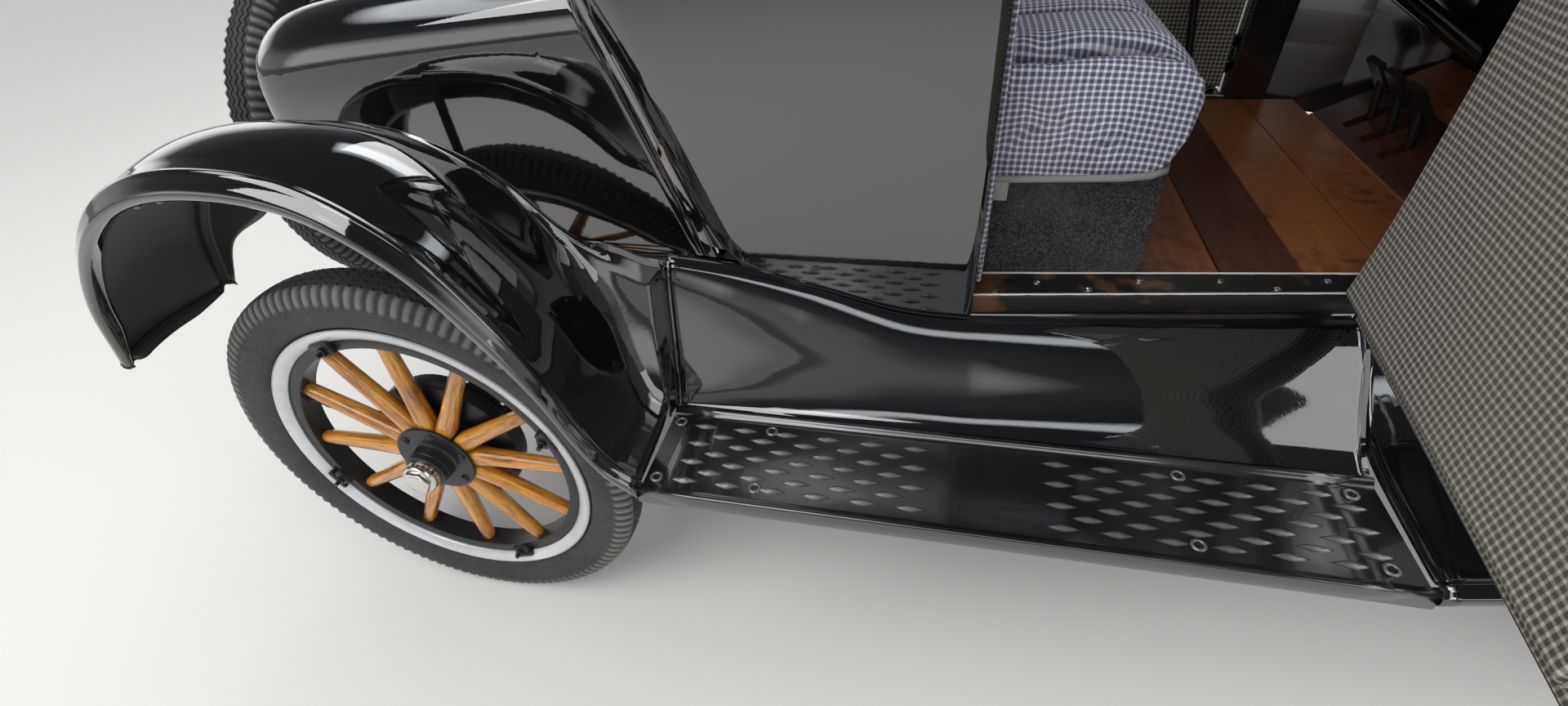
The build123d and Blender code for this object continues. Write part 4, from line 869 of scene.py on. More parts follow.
def fenderPoint(axleX, rows, column, key, drop=0.0, ahead=0.0):
    # a point of the left fender: one of the section's columns, at a distance along the fender
    x, z, lean, rise, crown, inner, skirt = flow(rows, key)
    kind, a, b, c = column
    if kind == "lip" and a > 8 and b < -13:
        a = 8 + (a - 8) * min(1, key / 70)
    width = fenderPlan["out"] - inner
    if kind == "lip":
        y, h = fenderPlan["out"] - a, b + c * crown + rise * flow(fenderPlan["across"], a / width)[1]
        low = drop * (0.6 + 0.4 * min(1, a / 30))
        h += min(0, -low - b) if b < 0 else -low
    elif kind == "body":
        over, up = flow(fenderPlan["across"], a)
        y, h = fenderPlan["out"] - a * width, crown * over + rise * up - drop * (1 - 2 * max(0, a - 0.6))
    elif kind == "edge":
        over, up = flow(fenderPlan["across"], 1 - a / width)
        y, h = inner + a, b + crown * over + rise * up - drop * 0.2
    else:
        y, h = inner - 1.5 * a, rise - 6 - (skirt - 6) * a - drop * 0.2
    t = radians(lean)
    return (axleX + x + h * cos(t) + ahead * sin(t), y,
            fenderPlan["hub"] + z + h * sin(t) - ahead * cos(t))


def fender(name, axleX, table, side):
    rows, count = keyed(table), fenderPlan["stations"]
    stations = [(0.0, *row) for row in fenderPlan["tip"]]
    stations += [(rows[-1][0] * n / count,) for n in range(count + 1)]
    inside = (axleX, 740, 300)
    mesh = shaped(len(fenderColumns) - 1, len(stations) - 1,
                  lambda i, j: fenderPoint(axleX, rows, fenderColumns[i], *stations[j]))
    piece(name, away(mesh, inside), "gloss under", "fenders", sharp=60, side=side, wall=fenderPlan["sheet"],
          lining=1, even=False)

    # inside the free end: the strap across it, and rivets along the turned edge
    strap, profile = bmesh.new(), fenderPlan["strap"]
    for reach in fenderPlan["straps"]:
        rib = shaped(18, len(profile) - 1, lambda i, j: fenderPoint(
            axleX, rows, ("body", (i + 1) / 20, 0, 0), reach + profile[j][0], profile[j][1]))
        add(strap, turnedOver(away(rib, inside)))
    for reach in fenderPlan["rivets"]:
        seat = Vector(fenderPoint(axleX, rows, ("lip", 12, -16, 0), reach))
        inward = (Vector((axleX, seat.y, fenderPlan["hub"])) - seat).normalized()
        add(strap, rivet(facing(seat + inward * 1.2, inward), 5.5, 3), 1)
    piece(name + "_strap", strap, "under gloss", "fenders", sharp=60, side=side)


for hand, side in hands:
    for end, x in wheelPlan["ends"][::-1]:
        fender(f"fender_{end}_{hand}", x, fenderPlan[end], side)
print("fenders made")


# running boards

boardPlan = {
    "rear": -803, "front": 235, "sheet": 3, "spans": 12,
    # the section from under the inner edge to under the outer lip
    "section": [(640, 482), (640, 500), (640.6, 506), (642.5, 508.6), (645.5, 509.4), (648.5, 508.6),
                (651, 506), (653.5, 502.6), (657, 500.4), (661, 500), (700, 500), (740, 500), (780, 500),
                (812, 500), (816.5, 500.6), (819.5, 503), (822, 506.4), (825, 508.6), (828, 508.8),
                (830.6, 507.4), (832, 504.6), (832, 483), (830.5, 480.6), (826, 480.4)],
    "diamond": (57, 18.5, 4.6), "pitch": 69, "rowStep": 19.4, "firstRow": 677, "rows": 7, "firstX": -810,
    "bare": (-352, -236), "ends": (-772, 214), "overrun": 6, "boltClear": (26, 13),
    "bolts": [(-786, 672), (-786, 794), (-629, 672), (-629, 792), (-20, 672), (-20, 793), (201, 672),
              (201, 793)],
    "dimple": [(-0.5, 5.2), (0.8, 5.6), (1.8, 6.8), (1.8, 8.4), (0.6, 10.2), (-0.6, 11.0)],
}


def diamond(x, y):
    # a raised lozenge with a crest along it
    length, width, height = boardPlan["diamond"]

    def lozengePoint(i, j):
        u, v = i / 2 - 1, j / 2 - 1
        return (x + (u + v) * length / 4, y + (v - u) * width / 4,
                499.2 + height * (1 - max(abs(u), abs(v)) ** 1.15))

    return shaped(4, 4, lozengePoint)


def runningBoard(hand, side):
    section, rear, front, spans = (boardPlan[key] for key in ("section", "rear", "front", "spans"))
    mesh = outward(shaped(len(section) - 1, spans,
                          lambda i, j: (rear + (front - rear) * j / spans, *section[i])))
    top = max(mesh.faces, key=lambda face: face.calc_area())
    if top.normal.z < 0:
        turnedOver(mesh)
    piece(f"running_board_{hand}", mesh, "board under", "running_boards", "board_black", sharp=50, side=side,
          wall=boardPlan["sheet"], lining=1)

    tread = bmesh.new()
    (low, high), (bareLow, bareHigh) = boardPlan["ends"], boardPlan["bare"]
    half, over, (clearX, clearY) = boardPlan["diamond"][0] / 2, boardPlan["overrun"], boardPlan["boltClear"]
    for row in range(boardPlan["rows"]):
        y = boardPlan["firstRow"] + row * boardPlan["rowStep"]
        x = boardPlan["firstX"] + row % 2 * boardPlan["pitch"] / 2
        while x < high - half + over:
            blocked = bareLow < x + half and x - half < bareHigh
            nearBolt = any(abs(x - bx) < clearX and abs(y - by) < clearY for bx, by in boardPlan["bolts"])
            if x - half > low - over and not blocked and not nearBolt:
                add(tread, diamond(x, y))
            x += boardPlan["pitch"]
    for x, y in boardPlan["bolts"]:
        # a dimple's ring with a countersunk screw in it
        add(tread, turned(boardPlan["dimple"], 28), place=site(x, y, 500.2, upright))
        add(tread, screw(site(x, y, 499.0, x * 0.7, "Z"), 5.2), 1)
    outward(tread)
    for face in tread.faces:
        if face.normal.z < -0.2:
            face.normal_flip()
    piece(f"running_board_{hand}_tread", tread, "tread steel", "running_boards", "board_black", sharp=25,
          side=side)


for hand, side in hands:
    runningBoard(hand, side)
print("running boards made")


# body skins

bodyPlan = {
    "jamb": -330, "corner": 105, "wall": 36, "rearEnd": -803, "halfWidth": 545, "taper": 0.121,
    # height, how far the side draws in
    "tuck": [(655, 16), (720, 9), (800, 3), (950, 0), (1195, 0), (1800, 22)],
    # height, the back's place along the car
    "rear": [(655, -775), (720, -790), (800, -812), (950, -862), (1195, -940), (1800, -915)],
    # along the car, the body's lower edge
    "hem": [(-803, 758), (-787, 754), (-574, 699), (-442, 662), (-336, 655), (255, 655)],
    # the belt's bead: height, how far it stands out
    "belt": [(1183, 0), (1186, 0.4), (1189, 3.2), (1192, 5.2), (1195, 5.8), (1198, 5.2), (1201, 3.2),
             (1204, 0.4), (1207, 0)],
    "quarter": (-790, -420, 1240, 1650), "back": (-250, 250, 1300, 1570),
    "shelf": ((-905, -503, 1165), (-790, 503, 1183)),
    "lowRows": (0, 0.05, 0.15, 0.32, 0.5, 0.68, 0.84, 1),
    "rows": [850, 900, 950, 1000, 1050, 1100, 1145, 1175],
    "highRows": [1225, 1270, 1320, 1380, 1440, 1500, 1560, 1620, 1670, 1720, 1760, 1800],
}
beltRows = [z for z, _ in bodyPlan["belt"]]


def sideAt(x, z):
    narrowing = bodyPlan["taper"] * max(x - bodyPlan["jamb"], 0)
    return bodyPlan["halfWidth"] - narrowing - flow(bodyPlan["tuck"], z)[0]


def rearAt(z):
    return flow(bodyPlan["rear"], z)[0]


def hemAt(x):
    return flow(bodyPlan["hem"], x)[0]


def beltAt(z):
    return straight(bodyPlan["belt"], z)


def window(sides):
    low, high, bottom, top = sides
    return [(low, bottom), (high, bottom), (high, top), (low, top)]


# cab: both quarters and the back, from the door's opening round to the other one

def cabHeights(x):
    low, start = hemAt(x), 800
    lowest = [low + (start - low) * share for share in bodyPlan["lowRows"]]
    return lowest + bodyPlan["rows"] + beltRows + bodyPlan["highRows"]


def cabPoint(kind, amount, side, row):
    jamb, corner = bodyPlan["jamb"], bodyPlan["corner"]
    z = cabHeights(jamb - 400 * amount if kind == "side" else bodyPlan["rearEnd"])[row]
    out, width, rear = beltAt(z), sideAt(jamb, z), rearAt(z)
    if kind == "side":
        x = jamb + (rear + corner - jamb) * amount
        z = cabHeights(x)[row]
        y = sideAt(x, z) + beltAt(z)
    elif kind == "corner":
        a = radians(amount)
        x, y = rear + corner - (corner + out) * sin(a), width - corner + (corner + out) * cos(a)
    else:
        x, y = rear - out, (width - corner) * (1 - amount)
    return x, side * y, z


def cab():
    half = [("side", n / 22) for n in range(23)] + [("corner", 9 * n) for n in range(1, 11)]
    columns = bothWays(half + [("back", n / 8) for n in range(1, 9)])
    mesh = shaped(len(columns) - 1, len(cabHeights(bodyPlan["jamb"])) - 1,
                  lambda i, j: cabPoint(*columns[i][0], columns[i][1], j))
    away(mesh, (-500, 0, 1200))
    low, high, bottom, top = bodyPlan["quarter"]
    for side in (1, -1):
        cutOut(mesh, (low, side * 300, bottom), (high, side * 800, top))
    low, high, bottom, top = bodyPlan["back"]
    cutOut(mesh, (-1100, low, bottom), (-800, high, top))
    onSide = 0.42
    cloth = [(v.co.x if abs(v.co.y) > onSide else v.co.y, v.co.z, 0.0) for v in mesh.verts]
    piece("cab_body", mesh, "gloss tooth", "cab", sharp=40, wall=bodyPlan["wall"], lining=1, cloth=cloth)
    piece("parcel_shelf", box(*bodyPlan["shelf"], 4), "carpet", "cab", "carpet")

    trim = bmesh.new()
    for side in (1, -1):
        # the jamb's strip and the rubber round the quarter's window
        jamb = bodyPlan["jamb"]
        add(trim, tube([(jamb - 1.5, side * (sideAt(jamb, z) - 6), z) for z in range(700, 1801, 50)], 3), 0)
        ring = [(x, side * (sideAt(x, z) - 3), z) for x, z in window(bodyPlan["quarter"])]
        add(trim, tube(ring, 4, closed=True), 1)
    add(trim, tube([(rearAt(z) + 3, y, z) for y, z in window(bodyPlan["back"])], 4, closed=True), 1)
    piece("cab_trim", trim, "gloss rubber", "cab")


cab()
print("cab made")


# splash aprons, with the joint to the rear fender

apronPlan = {
    "from": -803, "to": 235, "foot": (638, 506), "sheet": 1.8, "spans": 64, "lap": 5, "inset": 4,
    # share of the width out from the body, share of the height
    "section": [(0, 1), (0.12, 0.97), (0.28, 0.84), (0.46, 0.60), (0.63, 0.34), (0.80, 0.13), (0.93, 0.03),
                (1, 0)],
    # along the car, how far the top stands out towards the fender
    "flare": [(-803, 36), (-700, 14), (-574, 0), (300, 0)],
    # height, how far out the fender stands
    "fenderLine": [(507, 667), (597, 659), (672, 656), (758, 638)],
    "rivets": [(-786, 0.12), (-786, 0.24)],
    # the ledge beside the bonnet: along the car, its inner edge
    "ledge": [(637, 312), (1214, 214.3)],
}
apronSection = [(n, *row) for n, row in enumerate(apronPlan["section"])]


def apronPoint(kind, amount, x):
    footY, footZ = apronPlan["foot"]
    topZ = hemAt(x) - apronPlan["lap"]
    topY = sideAt(x, topZ) - apronPlan["inset"] + straight(apronPlan["flare"], x)
    if kind == "top":
        return x, topY - amount, topZ + min(5, 1.25 * amount)
    if kind == "foot":
        return x, footY, footZ - amount
    out, up = flow(apronSection, amount)
    return x, topY + out * (footY - topY), footZ + up * (topZ - footZ)


def apron(hand, side):
    last, steps = len(apronSection) - 1, 30
    columns = [("top", 22), ("top", 12), ("top", 4)] + [("face", last * n / steps) for n in range(steps + 1)]
    columns += [("foot", 3), ("foot", 9), ("foot", 24)]
    low, high, spans = apronPlan["from"], apronPlan["to"], apronPlan["spans"]
    mesh = shaped(len(columns) - 1, spans,
                  lambda i, j: apronPoint(*columns[i], low + (high - low) * j / spans))
    piece(f"apron_{hand}", away(mesh, (-300, 200, 200)), "gloss under", "aprons", sharp=50, side=side,
          wall=apronPlan["sheet"], lining=1)

    # the flange at the fender, its folded edges and rivets
    trim = bmesh.new()
    near = [Vector(apronPoint("face", last * n / 12, low)) for n in range(13)]
    far = [Vector((low - 5, max(straight(apronPlan["fenderLine"], spot.z), spot.y + 3), spot.z))
           for spot in near]
    strip = shaped(4, 12, lambda i, j: near[j].lerp(far[j], i / 4) + Vector((-i * (4 - i) / 4, 0, 1)))
    away(strip, (-300, 200, 300))
    bmesh.ops.solidify(strip, geom=strip.faces[:], thickness=apronPlan["sheet"] / 1000)
    add(trim, strip)
    add(trim, tube(far, 3.6))
    add(trim, tube([spot + Vector((4, 0.8, 0.8)) for spot in near], 2.8))
    for x, share in apronPlan["rivets"]:
        a, b, c = (Vector(apronPoint("face", last * share + turn, x + step))
                   for turn, step in ((0, 0), (0.1, 0), (0, 5)))
        normal = (c - a).cross(b - a).normalized()
        if normal.y < 0:
            normal.negate()
        # the head lies on the inner side
        inwards = (0, -hypot(normal.x, normal.y), normal.z)
        add(trim, rivet(facing(a + normal * 0.4, inwards), 5.5, 2.8))
    rings = [[(x, w + 18, 621), (x, w + 18, 694), (x, w, 694), (x, w, 621)] for x, w in apronPlan["ledge"]]
    add(trim, softened(lofted(rings), 3))
    piece(f"apron_trim_{hand}", trim, "gloss", "aprons", side=side)


for hand, side in hands:
    apron(hand, side)
print("aprons made")


# rear deck and its lid

deckPlan = {
    "wall": 20, "lid": (-1480, -1000, 340), "room": 5, "rearRoom": 12,
    "hinge": (-997, 1149.88), "pin": 3, "barrel": 7.8,
    # spans across the car: hinge pin, lugs, their notches in the deck, leaves, their notches in the lid
    "pinSpan": (174, 266), "lugs": [(174.5, 188), (252, 265.5)], "deckNotch": (187, 253),
    "leaf": (190.5, 249.5),
    "lidNotches": [(172, 189.5), (250.5, 268)],
    # along the car, half-width, top, bottom
    "stations": [(-1603, 385, 975, 725), (-1580, 430, 1038, 690), (-1530, 455, 1076, 672),
                 (-1430, 468, 1102, 665), (-1200, 476, 1130, 665), (-755, 480, 1172, 665)],
    # the rounded tail: past the last station, share of the section
    "tail": [(4, 0.985), (8, 0.955), (11, 0.90), (13, 0.8), (14.5, 0.6), (15.5, 0.3), (16, 0)],
    "keys": [0, 400, 445, 510, 660, 810, 880, 950, 1350],
    "columns": [0, 200, 385, 405, 425, 445, 475, 510, 560, 610, 660, 700, 740, 775, 810, 828, 846, 863, 880,
                898, 915, 932, 950, 990, 1040, 1100, 1160, 1220, 1290, 1350],
    "steps": [-1240, -1280, -1320, -1360, -1400, -1430, -1455, -1480, -1505, -1530, -1548, -1564, -1578,
              -1588, -1596, -1603],
    "grip": (-1420, 48, 1120),
    "gripFoot": [(0, 16), (4, 15.5), (6, 12), (6, 0)],
}


def deckSection(x, key, share=1.0):
    width, top, bottom = flow(deckPlan["stations"], x)
    half = [(0, bottom), (width - 60, bottom), (width - 26, bottom + 6), (width - 8, bottom + 60),
            (width, bottom + 0.45 * (top - bottom)), (width - 2, top - 95), (width - 22, top - 42),
            (width - 85, top - 8), (0, top)]
    y, z = flow([(k, *spot) for k, spot in zip(deckPlan["keys"], half)], key)
    middle = (top + bottom) / 2
    return y * share, middle + (min(z, top) - middle) * share


def cabFace(y, z):
    corner, width, rear = bodyPlan["corner"], sideAt(bodyPlan["jamb"], z), rearAt(z)
    over = min(max(abs(y) - (width - corner), 0), corner)
    return rear + corner - (corner * corner - over * over) ** 0.5


def deckPoint(key, side, kind, amount, share=1.0):
    # near steps close up to the cab's back, far steps lie across the car
    x = amount
    if kind == "near":
        start = cabFace(*deckSection(-860, key)) + 16
        x = start + (-1200 - start) * amount
    y, z = deckSection(deckPlan["steps"][-1] if kind == "tail" else x, key, share)
    return x, side * y, z


def deckSkin():
    columns = bothWays(deckPlan["columns"], closed=True)
    last = deckPlan["steps"][-1]
    steps = [("near", n / 12) for n in range(13)] + [("far", x) for x in deckPlan["steps"]]
    steps += [("tail", last - past, share) for past, share in deckPlan["tail"]]
    mesh = shaped(len(columns), len(steps) - 1, lambda i, j: deckPoint(*columns[i % len(columns)], *steps[j]))
    return away(mesh, (-1200, 0, 880))


def hingeBars(spans, radius):
    x, z = deckPlan["hinge"]
    return joined([bar((x, a, z), (x, b, z), radius, 18) for a, b in spans])


def deck():
    (rear, front, half), room, rearRoom = deckPlan["lid"], deckPlan["room"], deckPlan["rearRoom"]
    shell = cutOut(deckSkin(), (rear - rearRoom, -half - room, 1000), (front + room, half + room, 1400))
    for side in (1, -1):
        a, b = deckPlan["deckNotch"]
        cutOut(shell, (front + room - 1, side * a, 1000), (front + room + 8, side * b, 1400))
    piece("deck_body", shell, "gloss board", "deck", sharp=40, wall=deckPlan["wall"], lining=1)
    (low, high), spans = deckPlan["pinSpan"], deckPlan["lugs"]
    lugs = softened(hingeBars(spans + [(-b, -a) for a, b in spans], deckPlan["barrel"]), 1.2)
    add(lugs, hingeBars([(low, high), (-high, -low)], deckPlan["pin"]))
    # the bead that covers the joint between deck and cab
    line = []
    for n in range(30):
        y, z = deckSection(-860, 470 + 880 * n / 29)
        line.append((cabFace(y, z) - 1, y, z + 1))
    line += [(x, -y, z) for x, y, z in line[-2::-1]]
    add(lugs, tube(line, 4.5))
    piece("deck_trim", lugs, "gloss", "deck")

    lid = cutOut(deckSkin(), (rear, -half, 1000), (front, half, 1400), keep=True)
    for side in (1, -1):
        for a, b in deckPlan["lidNotches"]:
            cutOut(lid, (front - 9, side * a, 1000), (front + 1, side * b, 1400))
    piece("lid_panel", lid, "gloss board", "deck_lid", body="deck_lid", sharp=40, wall=deckPlan["wall"],
          lining=1)
    a, b = deckPlan["leaf"]
    fittings = softened(hingeBars([(a, b), (-b, -a)], deckPlan["barrel"]), 1.2)
    for y in (220, -220):
        add(fittings, box((-1090, y - 22, 1138.3), (-1001, y + 22, 1146.3), 2))
    x, reach, z = deckPlan["grip"]
    add(fittings, bar((x, 0, z - 22), (x, 0, z + 1), 8.5, 20), 1)
    add(fittings, tube([(x, y, z - abs(y / reach) ** 3 * 5) for y in range(-reach, reach + 1, 8)], 7.5, 5), 1)
    add(fittings, turned(deckPlan["gripFoot"], 28), 1, site(x, 0, z - 17.5, upright))
    piece("lid_fittings", fittings, "gloss nickel", "deck_lid", body="deck_lid")


deck()
print("deck made")


# doors: a skin, a frame behind it, and the cloth panel that rolls under its lower edge

doorPlan = {
    "front": 250, "rear": -324, "low": 660, "top": 1764, "trimTop": 1226, "panelDepth": 38, "skin": 3.4,
    "frame": 26,
    "window": (-272, 198, 1240, 1712), "hinges": (760, 1110, 1560), "pin": (244, 489.55), "opened": 77.2,
    "heights": [660, 661.2, 663, 668, 680, 700, 730, 770, 810, 850, 900, 950, 1000, 1050, 1100, 1145, 1175,
                *beltRows, 1240, 1300, 1360, 1420, 1480, 1540, 1600, 1660, 1712, 1740, 1758, 1762, 1764],
    "frameHeights": [699, 760, 850, 950, 1070, 1180, 1240, 1340, 1440, 1540, 1640, 1712, 1762],
    # in from a door's edge, how far the skin rolls in
    "edge": [(0, 3.4), (1, 1.5), (2.4, 0.5), (5, 0)],
    # the cloth from under the door upwards: height, depth behind the skin
    "roll": [(661, 3.6), (663, 4.7), (678, 4.8), (694, 4.9), (697, 6), (697.8, 10), (698, 20), (698.2, 27),
             (699.4, 31.5), (701.6, 34.8), (705, 37), (710, 38)],
    # in from the cloth panel's edge, how much nearer the skin it lies
    "side": [(0, 8), (0.8, 5.2), (2.4, 2.8), (4.8, 1), (8, 0), (14, 0)],
    "handle": (-280, 1130), "winder": (-60, 1098), "latch": (-262, 1110),
    "plate": [(0, 19), (3, 18.5), (4.8, 16), (5.6, 10), (5.6, 0)],
    # from the handle's foot: along the door, out from the skin
    "lever": [(-8, 34), (0, 36), (22, 37), (50, 34.5), (74, 31), (84, 27)],
    "boss": [(0, 21), (3, 20.5), (6, 15), (12, 10.5), (16.5, 10), (18, 8), (18, 0)],
    "knob": [(0, 4), (2, 8.5), (8, 11.5), (16, 11), (20, 7), (21, 0)],
    # from a boss: along the door, in from the panel, up
    "winderArm": [(0, 14, 0), (8, 15, -12), (33.3, 13, -37), (55.5, 11, -55.5)],
    "latchArm": [(0, 14, 0), (20, 15, 2), (42, 13, 1), (58, 12, -3)],
}


def doorColumns(step, profile):
    low, high = doorPlan["rear"], doorPlan["front"]
    ends = [row[0] for row in profile]
    span = high - low - 2 * ends[-1]
    count = round(span / step)
    middle = [low + ends[-1] + span * n / count for n in range(1, count)]
    return [low + e for e in ends] + middle + [high - e for e in ends[::-1]]


def fromEdge(x, z, top):
    return min(x - doorPlan["rear"], doorPlan["front"] - x, top - z)


def doorSkin():
    heights, columns, edge = doorPlan["heights"], doorColumns(40, doorPlan["edge"]), doorPlan["edge"]

    def skinPoint(i, j):
        x, z = columns[i], heights[j]
        near = min(fromEdge(x, z, doorPlan["top"]), z - doorPlan["low"])
        return x, sideAt(x, z) + beltAt(z) - straight(edge, near), z

    return away(shaped(len(columns) - 1, len(heights) - 1, skinPoint), (0, 0, 1200))


def doorFrame():
    heights, low, span, columns = doorPlan["frameHeights"], doorPlan["rear"] + 2, 570, 12

    def framePoint(i, j):
        x, z = low + span * i / columns, heights[j]
        return x, sideAt(x, z) - 4.2, z

    return away(shaped(columns, len(heights) - 1, framePoint), (0, 0, 1200))


def doorCloth():
    roll, top = doorPlan["roll"], doorPlan["trimTop"]
    heights = [row[0] for row in roll] + [*range(740, 1200, 40)] + [1212, 1218, 1221.2, 1223.6, 1225.2, top]
    columns = doorColumns(30, doorPlan["side"])
    # height, and the length of cloth up to it
    lengths, far, last = [], 0.0, (heights[0], straight(roll, heights[0]))
    for z in heights:
        depth = straight(roll, z)
        far += hypot(z - last[0], depth - last[1])
        lengths.append((z, far))
        last = (z, depth)

    def clothPoint(i, j):
        x, z = columns[i], heights[j]
        depth = straight(roll, z)
        if z > 698:
            depth = min(depth, doorPlan["panelDepth"] - straight(doorPlan["side"], fromEdge(x, z, top)))
        x = min(max(x, doorPlan["rear"] + 2), doorPlan["front"] - 2)
        return x, sideAt(x, z) - depth, z

    mesh = away(shaped(len(columns) - 1, len(heights) - 1, clothPoint), (0, 1200, 1000))
    return mesh, [(v.co.x, straight(lengths, v.co.z * 1000) / 1000, 0.0) for v in mesh.verts]


def doorFittings():
    # finishes: gloss, nickel, rubber
    whole = bmesh.new()
    pinX, pinY = doorPlan["pin"]
    for z in doorPlan["hinges"]:
        skin = sideAt(pinX, z)
        add(whole, softened(bar((pinX, pinY, z - 14.8), (pinX, pinY, z + 14.8), 8, 20), 1))
        add(whole, box((pinX - 34, skin - 2, z - 14), (pinX - 3, skin + 5, z + 14), 2))
        add(whole, box((pinX - 9, skin + 1, z - 14), (pinX - 1, pinY + 3, z + 14), 2))
        for x, up in ((pinX - 26, 6), (pinX - 26, -6), (pinX - 15, 0)):
            add(whole, screw(facing((x, skin + 5, z + up), (0, 1, 0)), 3.4))
    # outside handle on its plate
    x, z = doorPlan["handle"]
    skin = sideAt(x, z)
    spun = Matrix.Rotation(upright, 4, "Y")
    oval = facing((x, skin - 0.6, z), (0, 1, 0)) @ spun @ Matrix.Diagonal((1, 1.5, 1, 1))
    add(whole, turned(doorPlan["plate"], 32), 1, oval)
    add(whole, bar((x, skin, z), (x, skin + 33, z), 7.8, 20, 6.6), 1)
    add(whole, tube([(x + along, skin + out, z) for along, out in doorPlan["lever"]], 6.8, 5), 1)
    # inside: the window's winder and the latch lever
    for key in ("winder", "latch"):
        x, z = doorPlan[key]
        inner = sideAt(x, z) - doorPlan["panelDepth"]
        add(whole, turned(doorPlan["boss"], 28), 1, facing((x, inner + 0.8, z), (0, -1, 0)) @ spun)
        arm = [(x + along, inner - out, z + up) for along, out, up in doorPlan[key + "Arm"]]
        add(whole, tube(arm, 4.6, 4), 1)
        if key == "winder":
            add(whole, turned(doorPlan["knob"], 24), 0, facing(arm[-1], (0, -1, 0)) @ spun)
    # channel round the window, outside and in, and the lock on the rear edge
    for depth, radius, finish in ((3, 4, 2), (30, 5, 0)):
        ring = [(x, sideAt(x, z) - depth, z) for x, z in window(doorPlan["window"])]
        add(whole, tube(ring, radius, closed=True), finish)
    x, z = doorPlan["rear"], 1130
    skin = sideAt(x, z)
    return add(whole, box((x - 1.5, skin - 29, z - 45), (x + 2.5, skin - 8, z + 45), 1), 1)


def door(hand, side):
    skin, frameSheet, fittings = doorSkin(), doorFrame(), doorFittings()
    cloth, pattern = doorCloth()
    low, high, bottom, top = doorPlan["window"]
    for sheet in (skin, frameSheet):
        cutOut(sheet, (low, 200, bottom), (high, 800, top))
    if side < 0:
        x, y = doorPlan["pin"]
        swung = site(x, -y, 0, radians(doorPlan["opened"]), "Z") @ site(-x, y, 0)
        for sheet in (skin, frameSheet, fittings, cloth):
            otherSide(sheet)
            sheet.transform(swung)
    node = f"{hand}_door"
    piece(f"door_skin_{hand}", skin, "gloss", node, body=node, sharp=40, wall=doorPlan["skin"])
    piece(f"door_frame_{hand}", frameSheet, "gloss", node, body=node, sharp=40, wall=doorPlan["frame"])
    piece(f"door_cloth_{hand}", cloth, "tooth", node, "check_cloth", node, 60, cloth=pattern)
    piece(f"door_fittings_{hand}", fittings, "gloss nickel rubber", node, body=node)


for hand, side in hands:
    door(hand, side)
print("doors made")


# door sills: ribbed plates, worn along their edges

sillPlan = {
    "from": -330, "to": 250, "inner": [(-330, 452), (250, 392)], "outer": 11, "spans": 24, "screwTop": 689.3,
    # in from an edge, height
    "half": [(0, 655), (0, 687.5), (0.5, 689.8), (1.8, 691.2), (3.6, 691.7), (5.4, 691.2), (6.8, 689.8),
             (8.4, 689.2), (14, 689.1), (24, 689.2)],
    "worn": 0.6905,
    "screws": [(-296, 505), (-232, 471), (-157, 483), (-80, 452), (37, 438), (110, 452), (187, 421),
               (226, 447)],
    "dimple": [(-0.4, 6.4), (0.8, 6.8), (1.0, 8.2), (-0.4, 9.2)],
}


def sill(hand, side):
    half, low, high, spans = (sillPlan[key] for key in ("half", "from", "to", "spans"))
    columns = [(*row, False) for row in half] + [(*row, True) for row in half[::-1]]

    def sillPoint(i, j):
        d, z, inner = columns[i]
        x = low + (high - low) * j / spans
        outer, inside = sideAt(x, 691) - sillPlan["outer"], straight(sillPlan["inner"], x)
        return x, inside + d if inner else outer - d - (7 * (690 - z) / 35 if z < 660 else 0), z

    mesh = away(shaped(len(columns) - 1, spans, sillPoint), (0, 450, 600))
    worn = [1.0 if v.co.z > sillPlan["worn"] else 0.0 for v in mesh.verts]
    piece(f"sill_{hand}", mesh, "sill", "sills", "sill_plate", sharp=50, side=side, edge=worn)
    heads, z = bmesh.new(), sillPlan["screwTop"]
    for x, y in sillPlan["screws"]:
        add(heads, screw(site(x, y, z, x * 0.37, "Z"), 5.8))
        add(heads, turned(sillPlan["dimple"], 20), 1, site(x, y, z, upright))
    piece(f"sill_screws_{hand}", heads, "screw sill", "sills", "sill_plate", side=side)


for hand, side in hands:
    sill(hand, side)
print("sills made")


# seat: sprung cushion and back, blown up as cloth

seatPlan = {
    # voxel, cap and the pleats' sizes in metres, as the simulation's mesh has them, and the width of the
    # painted shade along the pleats
    "floor": 861.3, "voxel": 0.0092, "pressure": 4.0, "cap": 0.014, "frames": 20,
    "half": [(-800, 492), (-330, 492), (-50, 464)], "endRoll": 38, "pleats": (-279, -93, 93, 279),
    "depth": 0.026, "width": 0.011, "creaseShadeWidth": 0.0065,
    # share of the half-width, share of the section
    "ends": [(1.0, 0.955), (0.994, 0.982), (0.98, 0.996), (0.95, 1.0)],
    # round the cushion seen from its end, from the rear lower edge forwards
    "cushion": [(-552, -10), (-400, -10), (-250, -10), (-118, -8), (-90, 2), (-70, 24), (-56, 64), (-54, 104),
                (-62, 134), (-88, 155), (-140, 166), (-210, 169), (-300, 164), (-420, 154), (-520, 146),
                (-548, 138), (-555, 120), (-556, 60)],
    "back": [(-572, 8), (-567, 60), (-563, 110), (-565, 160), (-571, 230), (-588, 330), (-606, 440),
             (-622, 530), (-634, 566), (-660, 584), (-700, 588), (-732, 580), (-750, 556), (-752, 500),
             (-740, 360), (-726, 250), (-712, 120), (-700, 30), (-690, 6), (-630, 3)],
    "binding": [(-548, 489), (-330, 489), (-150, 472), (-112, 463), (-90, 446), (-82, 420), (-79, 380)],
}


